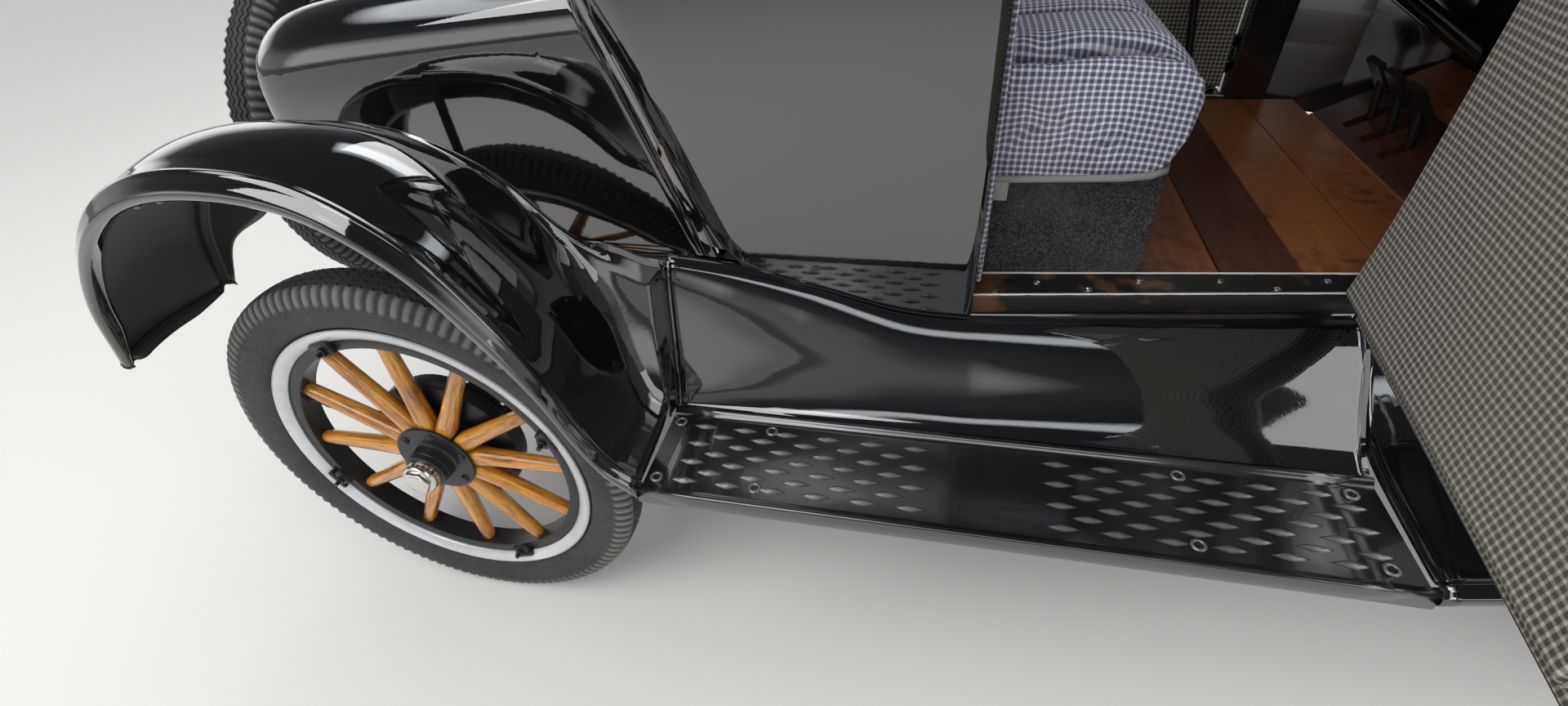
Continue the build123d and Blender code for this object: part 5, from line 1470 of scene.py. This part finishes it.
def seatForm(key, half):
    # rings across the car, drawn in towards the ends
    outline, ends = seatPlan[key], seatPlan["ends"]
    middleX = sum(x for x, _ in outline) / len(outline)
    rings = []
    spans = [(-share, size) for share, size in ends] + [(-0.95 + 1.9 * n / 24, 1.0) for n in range(1, 24)]
    for share, size in spans + ends[::-1]:
        ring = []
        for x, z in outline:
            x, z = middleX + (x - middleX) * (0.6 + 0.4 * size), 10 + (z - 10) * size
            width = half or straight(seatPlan["half"], x)
            ring.append((x, share * (width - 5), seatPlan["floor"] + z))
        rings.append(ring)
    return lofted(rings)


def evaluated(thing):
    return thing.evaluated_get(bpy.context.evaluated_depsgraph_get())


def blownUp(mesh, name):
    puffed = linked(name, mesh)
    remesh = puffed.modifiers.new("remesh", "REMESH")
    remesh.mode, remesh.voxel_size = "VOXEL", seatPlan["voxel"]
    fine = bpy.data.meshes.new_from_object(evaluated(puffed))
    puffed.modifiers.remove(remesh)
    puffed.data = fine
    start = spots = [vert.co.copy() for vert in fine.vertices]
    cloth = puffed.modifiers.new("cloth", "CLOTH")
    cloth.settings.use_pressure = True
    cloth.settings.uniform_pressure_force = seatPlan["pressure"]
    cloth.settings.effector_weights.gravity = 0
    cloth.settings.quality = 5
    for number in range(1, seatPlan["frames"] + 1):
        scene.frame_set(number)
    spots = [vert.co.copy() for vert in evaluated(puffed).data.vertices]
    puffed.modifiers.remove(cloth)
    scene.frame_set(1)
    made = bmesh.new()
    made.from_mesh(fine)
    for vert, first, last in zip(made.verts, start, spots):
        move = last - first
        if move.length > seatPlan["cap"]:
            move *= seatPlan["cap"] / move.length
        vert.co = first + move
    bpy.data.objects.remove(puffed)
    bpy.data.meshes.remove(fine)
    for _ in range(2):
        bmesh.ops.smooth_vert(made, verts=made.verts, factor=0.5, use_axis_x=True, use_axis_y=True,
                              use_axis_z=True)
    bmesh.ops.subdivide_edges(made, edges=made.edges, cuts=1, use_grid_fill=True, smooth=0.6)
    outward(made)
    made.normal_update()
    return made


def halfWidth(x):
    return straight(seatPlan["half"], x * 1000) / 1000


def sewn(mesh, limits, face):
    # pulls the pleats in, and keeps the pad off what it rests on; returns a painted shade for each vertex,
    # darkest along the pleats and end rolls on faces turned towards the given direction
    creaseShades, depth, width = [], seatPlan["depth"], seatPlan["width"]
    low, high = limits
    for vert in mesh.verts:
        end = halfWidth(vert.co.x) - seatPlan["endRoll"] / 1000
        lines = [line / 1000 for line in seatPlan["pleats"]] + [end, -end]
        near = min(abs(vert.co.y - line) for line in lines)
        shown = min(max(vert.normal.dot(face) * 1.8, 0.0), 1.0)
        creaseShades.append(shown / (1 + (near / seatPlan["creaseShadeWidth"]) ** 2))
        if near < width * 3:
            vert.co -= vert.normal * depth * shown / (1 + (near / width) ** 2 * 2.2)
        vert.co = [min(max(n, a), b) for n, a, b in zip(vert.co, low, high)]
    mesh.normal_update()
    return creaseShades


def cushionPattern(vert):
    # the check runs over the top and the front roll, and down the ends
    x, y, z = vert.co
    middleX, middleZ, radius, top = -0.17, 0.945, 0.098, 1.028
    u = x if z > 0.9 else 0.6 - x
    if x > middleX:
        u = middleX + radius * atan2(x - middleX, z - middleZ)
    share = min(max((abs(y) - halfWidth(x) + 0.055) / 0.015, 0.0), 1.0)
    u, v = u + (x - u) * share, abs(y) + max(top - z, 0.0) * share
    return (u, v if y > 0 else -v, 0.0)


def backPattern(vert):
    x, y, z = vert.co
    return (z, x + 0.56 + y if abs(y) > 0.470 else y, 0.0)


def seat(name, node, key, half, limits, pattern, face):
    mesh = blownUp(seatForm(key, half), name)
    # the painted shade along the pleats, one value for each vertex
    creaseShades = sewn(mesh, limits, Vector(face))
    cloth = [pattern(vert) for vert in mesh.verts]
    piece(name, mesh, "check", node, "check_cloth", sharp=180, cloth=cloth, fold=creaseShades)


seat("cushion_pad", "seat_cushion", "cushion", None, ((-0.5585, -0.4955, 0.8618), (-0.046, 0.4955, 1.045)),
     cushionPattern, (-0.2, 0, 1))
seat("back_pad", "seat_back", "back", 488, ((-0.7585, -0.490, 0.8618), (-0.561, 0.490, 1.4525)), backPattern,
     (1, 0, 0.3))

binding, lace = bmesh.new(), bmesh.new()
edge = [(x, y, 866.5) for x, y in seatPlan["binding"]]
add(binding, tube(edge + [(x, -y, z) for x, y, z in edge[::-1]], 5.2, 4))
for side in (1, -1):
    # the cloth tab at the rear corner and the bound edge of the door's pillar
    add(binding, box((-321, side * 494 - 1.5, 838), (-299, side * 494 + 1.5, 866), 1))
    add(lace, tube([(-323.5, side * (sideAt(-330, z) - 44), z) for z in range(700, 1791, 30)], 5.2, 4))
piece("seat_binding", binding, "binding", "seat_cushion", "check_cloth")
pattern = [(v.co.z, v.co.x + v.co.y, 0.0) for v in lace.verts]
piece("pillar_lace", lace, "check", "cab", "check_cloth", cloth=pattern)
print("seat made")


# front of the body: smooth skins over the scuttle, the bonnet and the roof

frontPlan = {
    # along the car, half-width, top, shoulder, how far the foot leans in
    "cowl": [(297, 469, 1200, 95, 16), (340, 464, 1198, 95, 14), (480, 408, 1180, 95, 6),
             (615, 330, 1165, 95, 0)],
    "hood": [(615, 330, 1165, 95, 0), (1215, 228, 1142, 75, 0)],
    "archKeys": [0, 40, 90, 145, 200, 250, 290, 320, 350, 375, 395, 415, 435, 450, 468, 485, 502, 520, 550,
                 590, 640, 700, 750, 800],
    "cowlFrom": 298, "cowlTo": 614, "cowlSpans": 16, "cowlFoot": 655, "cowlBeads": [(612, 3), (300, 4)],
    # instrument board, and the dials: along it, radius
    "board": ((297, -360, 1075), (307, 360, 1152), 3), "dials": [(20, 28), (-70, 19)], "dialHeight": 1113,
    "hoodFrom": 643.5, "hoodTo": 1208.5, "hoodFoot": 700.5, "hoodEdge": 16, "hoodSpans": 30,
    # first, last, step; then bottom, top, width, how far out
    "louvres": (700, 1150, 25), "louvre": (792, 946, 17, 5.5), "bulge": (0, 0.35, 0.8, 1),
    # lifting handle: along the car, out from the bonnet's side
    "handle": [(880, 7), (884, 22), (925, 23), (966, 5), (970, -4)], "handleHeight": 735,
    # along the car, half-width, eaves, rise
    "roof": [(-935, 452, 1800, 34), (-860, 500, 1800, 76), (-700, 531, 1800, 104), (-330, 531, 1800, 110),
             (250, 461, 1797, 92), (385, 452, 1790, 62)],
    "roofKeys": (0, 30, 75, 200, 560), "roofOver": (1.6, 1.8),
    "roofColumns": [0, 6, 14, 24, 36, 50, 70, 100, 140, 190, 250, 320, 400, 480, 560],
    "roofSteps": [-920, -900, -880, -860, -830, -790, -740, -690, -600, -500, -400, -330, -250, -150, -50, 50,
                  150, 250, 300, 350, 385],
    # past each end, share of the height
    "roofEnd": [(7, 0.0), (6.6, 0.5), (5.4, 0.8), (3, 0.95)],
}
hoodSide = [row[:2] for row in frontPlan["hood"]]


def archPoint(plan, foot, x, key):
    width, top, shoulder, tuck = flow(frontPlan[plan], x)
    half = [(width - tuck, foot), (width - 0.2 * tuck, foot + 145), (width, top - 2.1 * shoulder),
            (width - 0.1 * shoulder, top - 1.2 * shoulder), (width - 0.45 * shoulder, top - 0.5 * shoulder),
            (width - shoulder, top - 0.16 * shoulder), (0, top)]
    y, z = flow([(k, *spot) for k, spot in zip((0, 145, 290, 375, 450, 520, 800), half)], key)
    return y, min(z, top)


def pushedOut(mesh, far):
    mesh.normal_update()
    for vert, move in [(vert, vert.normal.copy()) for vert in mesh.verts]:
        vert.co += move * far / 1000
    return mesh


def cowlSkin():
    columns, foot, spans = bothWays(frontPlan["archKeys"]), frontPlan["cowlFoot"], frontPlan["cowlSpans"]
    low, high = frontPlan["cowlFrom"], frontPlan["cowlTo"]
    last = columns[len(columns) // 2][0]

    def cowlPoint(i, j):
        (key, side), x = columns[i], low + (high - low) * j / spans
        y, z = archPoint("cowl", foot, x, key)
        return x, y * side, z

    mesh = away(shaped(len(columns) - 1, spans, cowlPoint), (450, 0, 900))
    piece("cowl_skin", pushedOut(mesh, 1.3), "gloss", sharp=50, wall=1)
    trim = bmesh.new()
    for x, radius in frontPlan["cowlBeads"]:
        line = []
        for key, side in columns:
            y, z = archPoint("cowl", foot, x, key)
            line.append((x, (y + 1.5) * side if key < last else 0, z + (1.5 if key > 500 else 0)))
        add(trim, tube(line, radius))
    add(trim, box(*frontPlan["board"]), 0)
    for y, radius in frontPlan["dials"]:
        dial = [(0, radius), (5, radius), (6.5, radius * 0.94), (6.5, radius * 0.86), (4, radius * 0.84),
                (4, 0)]
        add(trim, turned(dial, 32), 1, site(297, y, frontPlan["dialHeight"], pi, "Z"))
    piece("cowl_trim", trim, "gloss nickel")


def hoodHalf(hand, side):
    low, high, foot, edge, spans = (frontPlan["hood" + key]
                                    for key in ("From", "To", "Foot", "Edge", "Spans"))
    keys, behind = frontPlan["archKeys"], (900, 0, 900)

    def hoodPoint(i, j):
        x = low + (high - low) * j / spans
        y, z = archPoint("hood", foot, x, keys[i])
        return x, max(y, edge + 0.4), z

    mesh = away(shaped(len(keys) - 1, spans, hoodPoint), behind)
    node = f"{hand}_hood"
    piece(f"bonnet_skin_{hand}", pushedOut(mesh, 1.2), "gloss", body=node, sharp=50, side=side, wall=0.9)

    trim = bmesh.new()
    start, end, step = frontPlan["louvres"]
    bottom, top, width, out = frontPlan["louvre"]
    for middle in range(start, end + 1, step):
        def louvrePoint(i, j):
            x = middle + width * (0.5 - i / 3)
            bulge = (1 - abs(2 * j / 6 - 1) ** 4) * frontPlan["bulge"][i] * out
            return x, straight(hoodSide, x) + 0.8 + bulge, bottom + (top - bottom) * j / 6

        add(trim, away(shaped(3, 6, louvrePoint), behind))
    # edge beads, and the lifting handle on its plate
    for x in (low + 2, high - 2):
        arch = [archPoint("hood", foot, x, key) for key in keys]
        add(trim, tube([(x, max(y, edge + 1) + 1.2, z + 1.2) for y, z in arch], 2.2))
    y, z = straight(hoodSide, 925), frontPlan["handleHeight"]
    add(trim, tube([(x, y + far, z) for x, far in frontPlan["handle"]], 5.5, 4))
    add(trim, box((868, y + 5, z - 10), (892, y + 13, z + 10), 2))
    piece(f"bonnet_trim_{hand}", trim, "gloss", body=node, sharp=45, side=side)


def roofSkin():
    columns, roof = bothWays(frontPlan["roofColumns"]), frontPlan["roof"]
    outer, over = frontPlan["roofOver"]
    rear, front, last = roof[0][0], roof[-1][0], frontPlan["roofColumns"][-1]
    ends = frontPlan["roofEnd"]
    steps = [(rear - past, share) for past, share in ends] + [(x, 1) for x in (rear, *frontPlan["roofSteps"])]
    steps += [(front + past, share) for past, share in ends[::-1]]

    def roofPoint(i, j):
        (key, side), (x, share) = columns[i], steps[j]
        width, edge, rise = flow(roof, x)
        shape = [(width, edge - 1), (width, edge + 0.3 * rise), (width - 42, edge + 0.62 * rise),
                 (width * 0.6, edge + 0.92 * rise), (0, edge + rise)]
        y, z = flow([(k, *spot) for k, spot in zip(frontPlan["roofKeys"], shape)], key)
        y = (max(y, 0) + outer) * (0.9 + 0.1 * share)
        return x, y * side if key < last else 0, edge + (z + over - edge) * share

    mesh = away(shaped(len(columns) - 1, len(steps) - 1, roofPoint), (-300, 0, 1500))
    piece("roof_cover", mesh, "top", slot="top_cloth", sharp=60, wall=1.2)
    # the drip moulding and the sewn seams
    trim = bmesh.new()
    rim = [(x, flow(roof, x)[0] + 2.5, flow(roof, x)[1] + 2) for x in range(-925, 381, 45)]
    width = rim[0][1]
    loop = [(-937, y, 1802) for y in (0, width * 0.5, width * 0.9)] + rim
    loop += [(387, y, 1792) for y in (440, 230, 0)]
    loop += [(x, -y, z) for x, y, z in loop[-2:0:-1]]
    add(trim, tube(loop, 5.2, closed=True), 0)
    for side in (1, -1):
        seam = []
        for x in range(-900, 371, 40):
            width, edge, rise = flow(roof, x)
            seam.append((x, side * width * 0.62, edge + rise * 0.912 + 3))
        add(trim, tube(seam, 3), 1)
    piece("roof_trim", trim, "gloss top")


cowlSkin()
for hand, side in hands:
    hoodHalf(hand, side)
roofSkin()
print("front and roof made")


# radiator core, cap and lamps

lampPlan = {
    "at": (1330, 365, 975), "screwCircle": (25.5, 113.7), "screws": 3,
    "bowl": [(-95, 0), (-94.4, 14), (-92, 32), (-86, 49), (-76, 64.5), (-63, 78), (-46, 90), (-28, 99.5),
             (-8, 105.5), (10, 108), (22, 108.2), (23, 111.6), (25.5, 113.8), (38, 113.8), (41, 112.4),
             (43, 108), (43.6, 101), (41, 99.6), (39, 99.6)],
    "mirror": [(38, 99), (20, 96), (0, 87), (-20, 74), (-38, 56), (-50, 36), (-55, 14), (-55, 0)],
    "lens": [(39.5, 99.4), (45, 82), (50, 58), (53.6, 30), (55, 0)],
    "bulb": [(-14, 8), (-6, 12), (4, 14), (13, 10.5), (18, 4), (18.5, 0)],
    "post": [(1282, 283, 622), (1282, 283, 665), (1295, 318, 722), (1310, 352, 790), (1320, 364, 840),
             (1326, 365, 872)],
    "foot": [(0, 12.5), (1, 18), (12, 19), (18, 12.5)],
    "tail": (-1650, 440, 601), "tailArm": ((-1640, 135, 601), (-1640, 440, 601)),
    "tailBowl": [(-34, 0), (-34, 30), (-32, 35), (-28, 37.5), (-10, 39.8), (8, 40), (10, 39.4), (11.5, 37),
                 (11.5, 34)],
    "tailLens": [(11.5, 35), (15, 30), (18.4, 20), (20.4, 10), (21, 0)],
}


def bowed(key, steps):
    # an open profile whose faces look forwards
    return away(turned(lampPlan[key], steps), (-200, 0, 0))


def headlamp(hand, side):
    x, y, z = lampPlan["at"]
    place = site(x, y, z)
    mesh = add(bmesh.new(), turned(lampPlan["bowl"], 72), place=place)
    mirrorBowl = bowed("mirror", 56)
    bmesh.ops.reverse_faces(mirrorBowl, faces=[f for f in mirrorBowl.faces if f.normal.x < 0])
    add(mesh, mirrorBowl, 1, place)
    add(mesh, bar((-50, 0, 0), (-12, 0, 0), 9), 1, place)
    add(mesh, turned(lampPlan["bulb"], 24), 2, place)
    add(mesh, tube(eased(lampPlan["post"], 24), 11.5, 5))
    footX, footY, footZ = lampPlan["post"][0]
    add(mesh, turned(lampPlan["foot"], 24), place=site(footX, footY, footZ + 0.5, upright))
    ahead, circle = lampPlan["screwCircle"]
    for n in range(lampPlan["screws"]):
        a = tau * n / lampPlan["screws"] + 0.5
        out = (0, sin(a), cos(a))
        add(mesh, screw(facing((x + ahead, y + circle * out[1], z + circle * out[2]), out), 4.2), 1)
    piece(f"headlamp_{hand}", mesh, "gloss nickel lens", "lamps", sharp=40, side=side)
    lens = bowed("lens", 56)
    lens.transform(place)
    piece(f"headlamp_lens_{hand}", lens, "lens", "lamps", "clear_glass", sharp=60, side=side)


def tailLamp():
    place = site(*lampPlan["tail"], pi, "Z")
    mesh = add(bmesh.new(), turned(lampPlan["tailBowl"], 48), place=place)
    add(mesh, bowed("tailLens", 40), 1, place)
    add(mesh, bar(*lampPlan["tailArm"], 7.8, 18))
    piece("tail_lamp", mesh, "gloss red", "lamps")


radiatorPlan = {
    # half-width, bottom, top; fins and tubes: front face, half-thickness, number
    "core": (196, 686, 1044), "back": 1271.2, "fins": (1279.5, 0.6, 45), "tubes": (1277.5, 1.2, 24),
    "tubeReach": 192,
    "surround": [(200, 684), (200, 860), (200, 940), (191, 990), (166, 1026), (128, 1042), (0, 1047)],
    "front": 1285.5,
    "cap": [(-12, 23.5), (-2, 24), (0, 31), (3, 33.2), (11, 33.2), (14, 31), (17, 22), (19, 9), (19.5, 0)],
    "capAt": (1250, 0, 1170), "grips": 18, "grip": ((-1.2, 32.5, -4), (1.2, 34.5, 4), 0.5, 1),
    "rivets": [(y, z) for y in (216.5, -216.5) for z in (700, 860, 1000)],
}


def radiatorTrim():
    mesh, back, reach = bmesh.new(), radiatorPlan["back"], radiatorPlan["tubeReach"]
    width, bottom, top = radiatorPlan["core"]
    front, thin, count = radiatorPlan["fins"]
    for z in (bottom + (top - bottom) * n / count for n in range(count + 1)):
        add(mesh, box((back, -width, z - thin), (front, width, z + thin)), 1)
    front, thin, count = radiatorPlan["tubes"]
    for y in (reach * (2 * n / count - 1) for n in range(count + 1)):
        add(mesh, box((back, y - thin, bottom), (front, y + thin, top)), 1)
    ring = radiatorPlan["surround"]
    ring = [(radiatorPlan["front"], y, z) for y, z in ring + [(-y, z) for y, z in ring[-2::-1]]]
    add(mesh, tube(ring, 4.5, 4, closed=True), 2)
    x, y, z = radiatorPlan["capAt"]
    add(mesh, turned(radiatorPlan["cap"], 48), 2, site(x, y, z, upright))
    for n in range(radiatorPlan["grips"]):
        add(mesh, box(*radiatorPlan["grip"]), 2, site(x, y, z + 7, tau * n / radiatorPlan["grips"], "Z"))
    for y, z in radiatorPlan["rivets"]:
        add(mesh, rivet(site(1285.2, y, z, sideways), 4.2, 2), 0)
    piece("radiator_trim", mesh, "gloss steel nickel")


# what shows on the engine when a bonnet half is up

enginePlan = {
    "head": ((677, -88, 948.5), (1103, 88, 959), 3), "top": 959, "studRows": (-68, 68),
    "studs": (700, 776, 852, 928, 1004, 1080), "plugs": (740, 850, 960, 1070),
    "plug": [(10, 8.5), (22, 8.0), (26, 6.2), (44, 5.0), (45, 0)],
    "coilBox": [((622.5, 88, 905), (655, 196, 1012), 4), ((622.5, 83, 1011), (659, 201, 1021), 3)],
    "leadFrom": (652, 105, 985), "leadStep": 22,
    "port": [(0, 26), (6, 26), (7.5, 24), (7.5, 15)],
    # points, radius, finish
    "pipes": [([(712, 138, 772), (760, 140, 764), (840, 141, 757), (900, 141, 748), (960, 141, 757),
                (1040, 140, 764), (1088, 138, 772)], 18.5, 1),
              ([(900, 141, 752), (900, 144, 730), (900, 146, 708), (900, 150, 692)], 20, 1),
              ([(790, -136, 812), (830, -139, 806), (890, -140, 801), (950, -139, 806), (990, -136, 812)],
               14.5, 1),
              ([(1078, 0, 962), (1084, 0, 990), (1104, 0, 1022), (1140, 0, 1042), (1196, 0, 1050)], 22.5, 4)],
    "clip": [(-5, 23.2), (-5, 25), (5, 25), (5, 23.2)],
    "clips": [(1079.5, 0, 975, upright), (1178, 0, 1049, 0)],
    "carburettor": [(0, 0), (0, 26), (4, 30), (38, 30), (42, 26), (50, 18), (78, 16.5), (78, 0)],
    "carburettorAt": (890, -141, 724), "fan": (1152, 0, 846), "blades": 4, "blade": (34, 150, 42),
    "fanHub": [(-34, 0), (-34, 18), (-12, 18), (-10, 34), (4, 36), (12, 30), (16, 0)],
    "pulley": [(-30, 18.5), (-30, 46), (-27, 46), (-25, 42), (-17, 42), (-15, 46), (-12, 46), (-12, 18.5)],
}


def engineTrim():
    # finishes: iron, spring, rim, nickel, steel, coil
    mesh, top, spun = box(*enginePlan["head"]), enginePlan["top"], Matrix.Rotation(upright, 4, "Y")
    for x in enginePlan["studs"]:
        for y in enginePlan["studRows"]:
            add(mesh, bolt(site(x, y, top), 7.5, 9), 1)
    for n, x in enumerate(enginePlan["plugs"]):
        foot = Vector((x, -12, top))
        add(mesh, bolt(site(*foot), 12, 12), 1)
        add(mesh, turned(enginePlan["plug"], 16), 2, site(*foot, upright))
        add(mesh, bar(foot + Vector((0, 0, 44)), foot + Vector((0, 0, 56)), 3.5, 10), 3)
        # the lead from the coil box
        start = Vector(enginePlan["leadFrom"]) + Vector((0, enginePlan["leadStep"] * n, 0))
        rise = [start, start + Vector((30, -10, 12)), (start + foot) / 2 + Vector((0, 10, 52)),
                foot + Vector((-20, 8, 70)), foot + Vector((0, 0, 53))]
        add(mesh, tube(eased(rise, 16), 3.2), 4)
        # manifold branches: four to the exhaust, two to the intake
        branches = [(x, 100, 141, 762, 105)] + [(x - 12, -100, -139, 806, -105)] * (n in (1, 2))
        for along, near, far, z, face in branches:
            add(mesh, bar((along, near, z), (along, far, z), 16.5, 18), 1)
            add(mesh, turned(enginePlan["port"], 24), 1, facing((along, face, z), (0, far, 0)) @ spun)
    for points, radius, finish in enginePlan["pipes"]:
        add(mesh, tube(eased(points, 18), radius, 7), finish)
    for spot in enginePlan["clips"]:
        add(mesh, turned(enginePlan["clip"], 28), 3, site(*spot))
    add(mesh, turned(enginePlan["carburettor"], 32), 3, site(*enginePlan["carburettorAt"], upright))
    for block in enginePlan["coilBox"]:
        add(mesh, box(*block), 5)
    hubAt = site(*enginePlan["fan"])
    for key in ("fanHub", "pulley"):
        add(mesh, turned(enginePlan[key], 36), 4, hubAt)
    inner, outer, width = enginePlan["blade"]

    def bladePoint(i, j):
        half = width * (0.55 + 0.45 * sin(pi * min(j / 8 + 0.15, 1)))
        across = (i / 2 - 1) * half
        return across * 0.42, across, inner + (outer - inner) * j / 8

    for n in range(enginePlan["blades"]):
        blade = outward(shaped(4, 8, bladePoint))
        bmesh.ops.solidify(blade, geom=blade.faces, thickness=0.002)
        add(mesh, blade, 4, hubAt @ Matrix.Rotation(tau * n / enginePlan["blades"] + 0.4, 4, "X"))
    piece("engine_trim", mesh, "iron spring rim nickel steel coil")


for hand, side in hands:
    headlamp(hand, side)
tailLamp()
radiatorTrim()
engineTrim()
print("lamps and radiator made")


# floor and light, all pale

stage = {
    "floor": (0.80, 0.79, 0.77), "floorWorn": (0.74, 0.73, 0.71), "floorSize": 60.0, "floorDrop": 0.0005,
    "sky": (0.97, 0.97, 0.97), "skyStrength": 0.78,
    # name, place, aimed at, size in metres, power
    "lights": [("key", (-2600, -3400, 4600), (-200, -300, 600), (4.0, 3.0), 125),
               ("fill", (3600, -2800, 3400), (200, -200, 600), (3.2, 3.0), 55),
               ("back", (-1000, 4000, 4400), (0, 0, 700), (4.4, 2.4), 80)],
}


def floorPaint():
    f = Finish("paleFloor", Specular_IOR_Level=0.3)
    cloud = f.noise(f.place(), 1.3, 4.0)
    f.put(Base_Color=f.mix(cloud * 0.15, stage["floor"], stage["floorWorn"]), Roughness=cloud * 0.1 + 0.5)
    return f.material


ground = bmesh.new()
bmesh.ops.create_grid(ground, x_segments=2, y_segments=2, size=stage["floorSize"] / 2)
studioFloor = linked("studioFloor", ground)
studioFloor.data.materials.append(floorPaint())
studioFloor.location.z = -stage["floorDrop"]

for name, spot, aim, size, power in stage["lights"]:
    lamp = bpy.data.lights.new(name, "AREA")
    lamp.shape, lamp.size, lamp.size_y, lamp.energy = "RECTANGLE", *size, power
    holder = bpy.data.objects.new(name, lamp)
    holder.matrix_world = facing(spot, Vector(spot) - Vector(aim))
    scene.collection.objects.link(holder)


class Sky(Finish):
    def __init__(self, name):
        scene.world = bpy.data.worlds.new(name)
        scene.world.use_nodes = True
        self.tree = scene.world.node_tree
        self.tree.nodes.clear()


def studioSky():
    # the eye and the diffuse light see a plain pale sky; glossy paint sees soft lights on a dark ceiling
    f = Sky("studio")
    way = f.node("ShaderNodeTexCoord", out="Generated")
    height = f.axis(way, 2)
    turn = f.maths("ARCTAN2", f.axis(way, 1), f.axis(way, 0))
    bays = f.between(f.maths("SINE", turn * 5.0 + 0.6) + f.noise(way, 2.2, 2.0) * 0.8, 0.05, 0.55)
    wall = f.between(height, 0.34, 0.20) * f.between(height, 0.015, 0.05)
    strip = f.between(height, 0.60, 0.66) * f.between(height, 0.80, 0.74)
    breaks = f.between(f.maths("SINE", turn * 4.0 + 1.05), -0.2, 0.1)
    glow = f.between(height, 0.55, 0.02)
    seen = wall * (bays * 0.85 + 0.25) + strip * breaks * 2.4 + glow * 0.16 + 0.045
    tint = f.mix(f.between(height, 0.0, 0.5), (1.0, 0.985, 0.96), (0.90, 0.95, 1.0))
    lit = f.node("ShaderNodeBackground", None, {"Color": tint, "Strength": seen})
    plain = f.node("ShaderNodeBackground", None, {"Color": stage["sky"], "Strength": stage["skyStrength"]})
    glossy = f.node("ShaderNodeLightPath", out="Is Glossy Ray")
    both = f.node("ShaderNodeMixShader", None, {0: glossy, 1: plain, 2: lit})
    f.node("ShaderNodeOutputWorld", None, {"Surface": both})


studioSky()
print("studio made")

# finishes for the pieces that stay as they were drawn

keptFinish = {
    "chassis": "frame rear_axle front_axle left_knuckle right_knuckle tie_rod column_arm controls",
    "spring": "springs", "gloss": "steering_column radiator left_hood right_hood roof",
    "steel": "steering_wheel",
    "iron": "engine", "board": "cowl windscreen", "boards": "floor", "carpet": "seat_base",
    "glass": "left_door_glass right_door_glass glass", "carrier": "spare_carrier",
}
for paint, names in keptFinish.items():
    for name in names.split():
        made = nodes[name]
        for slot in made.material_slots:
            slot.material = finishes[paint]
        if not made.material_slots:
            made.data.materials.append(finishes[paint])
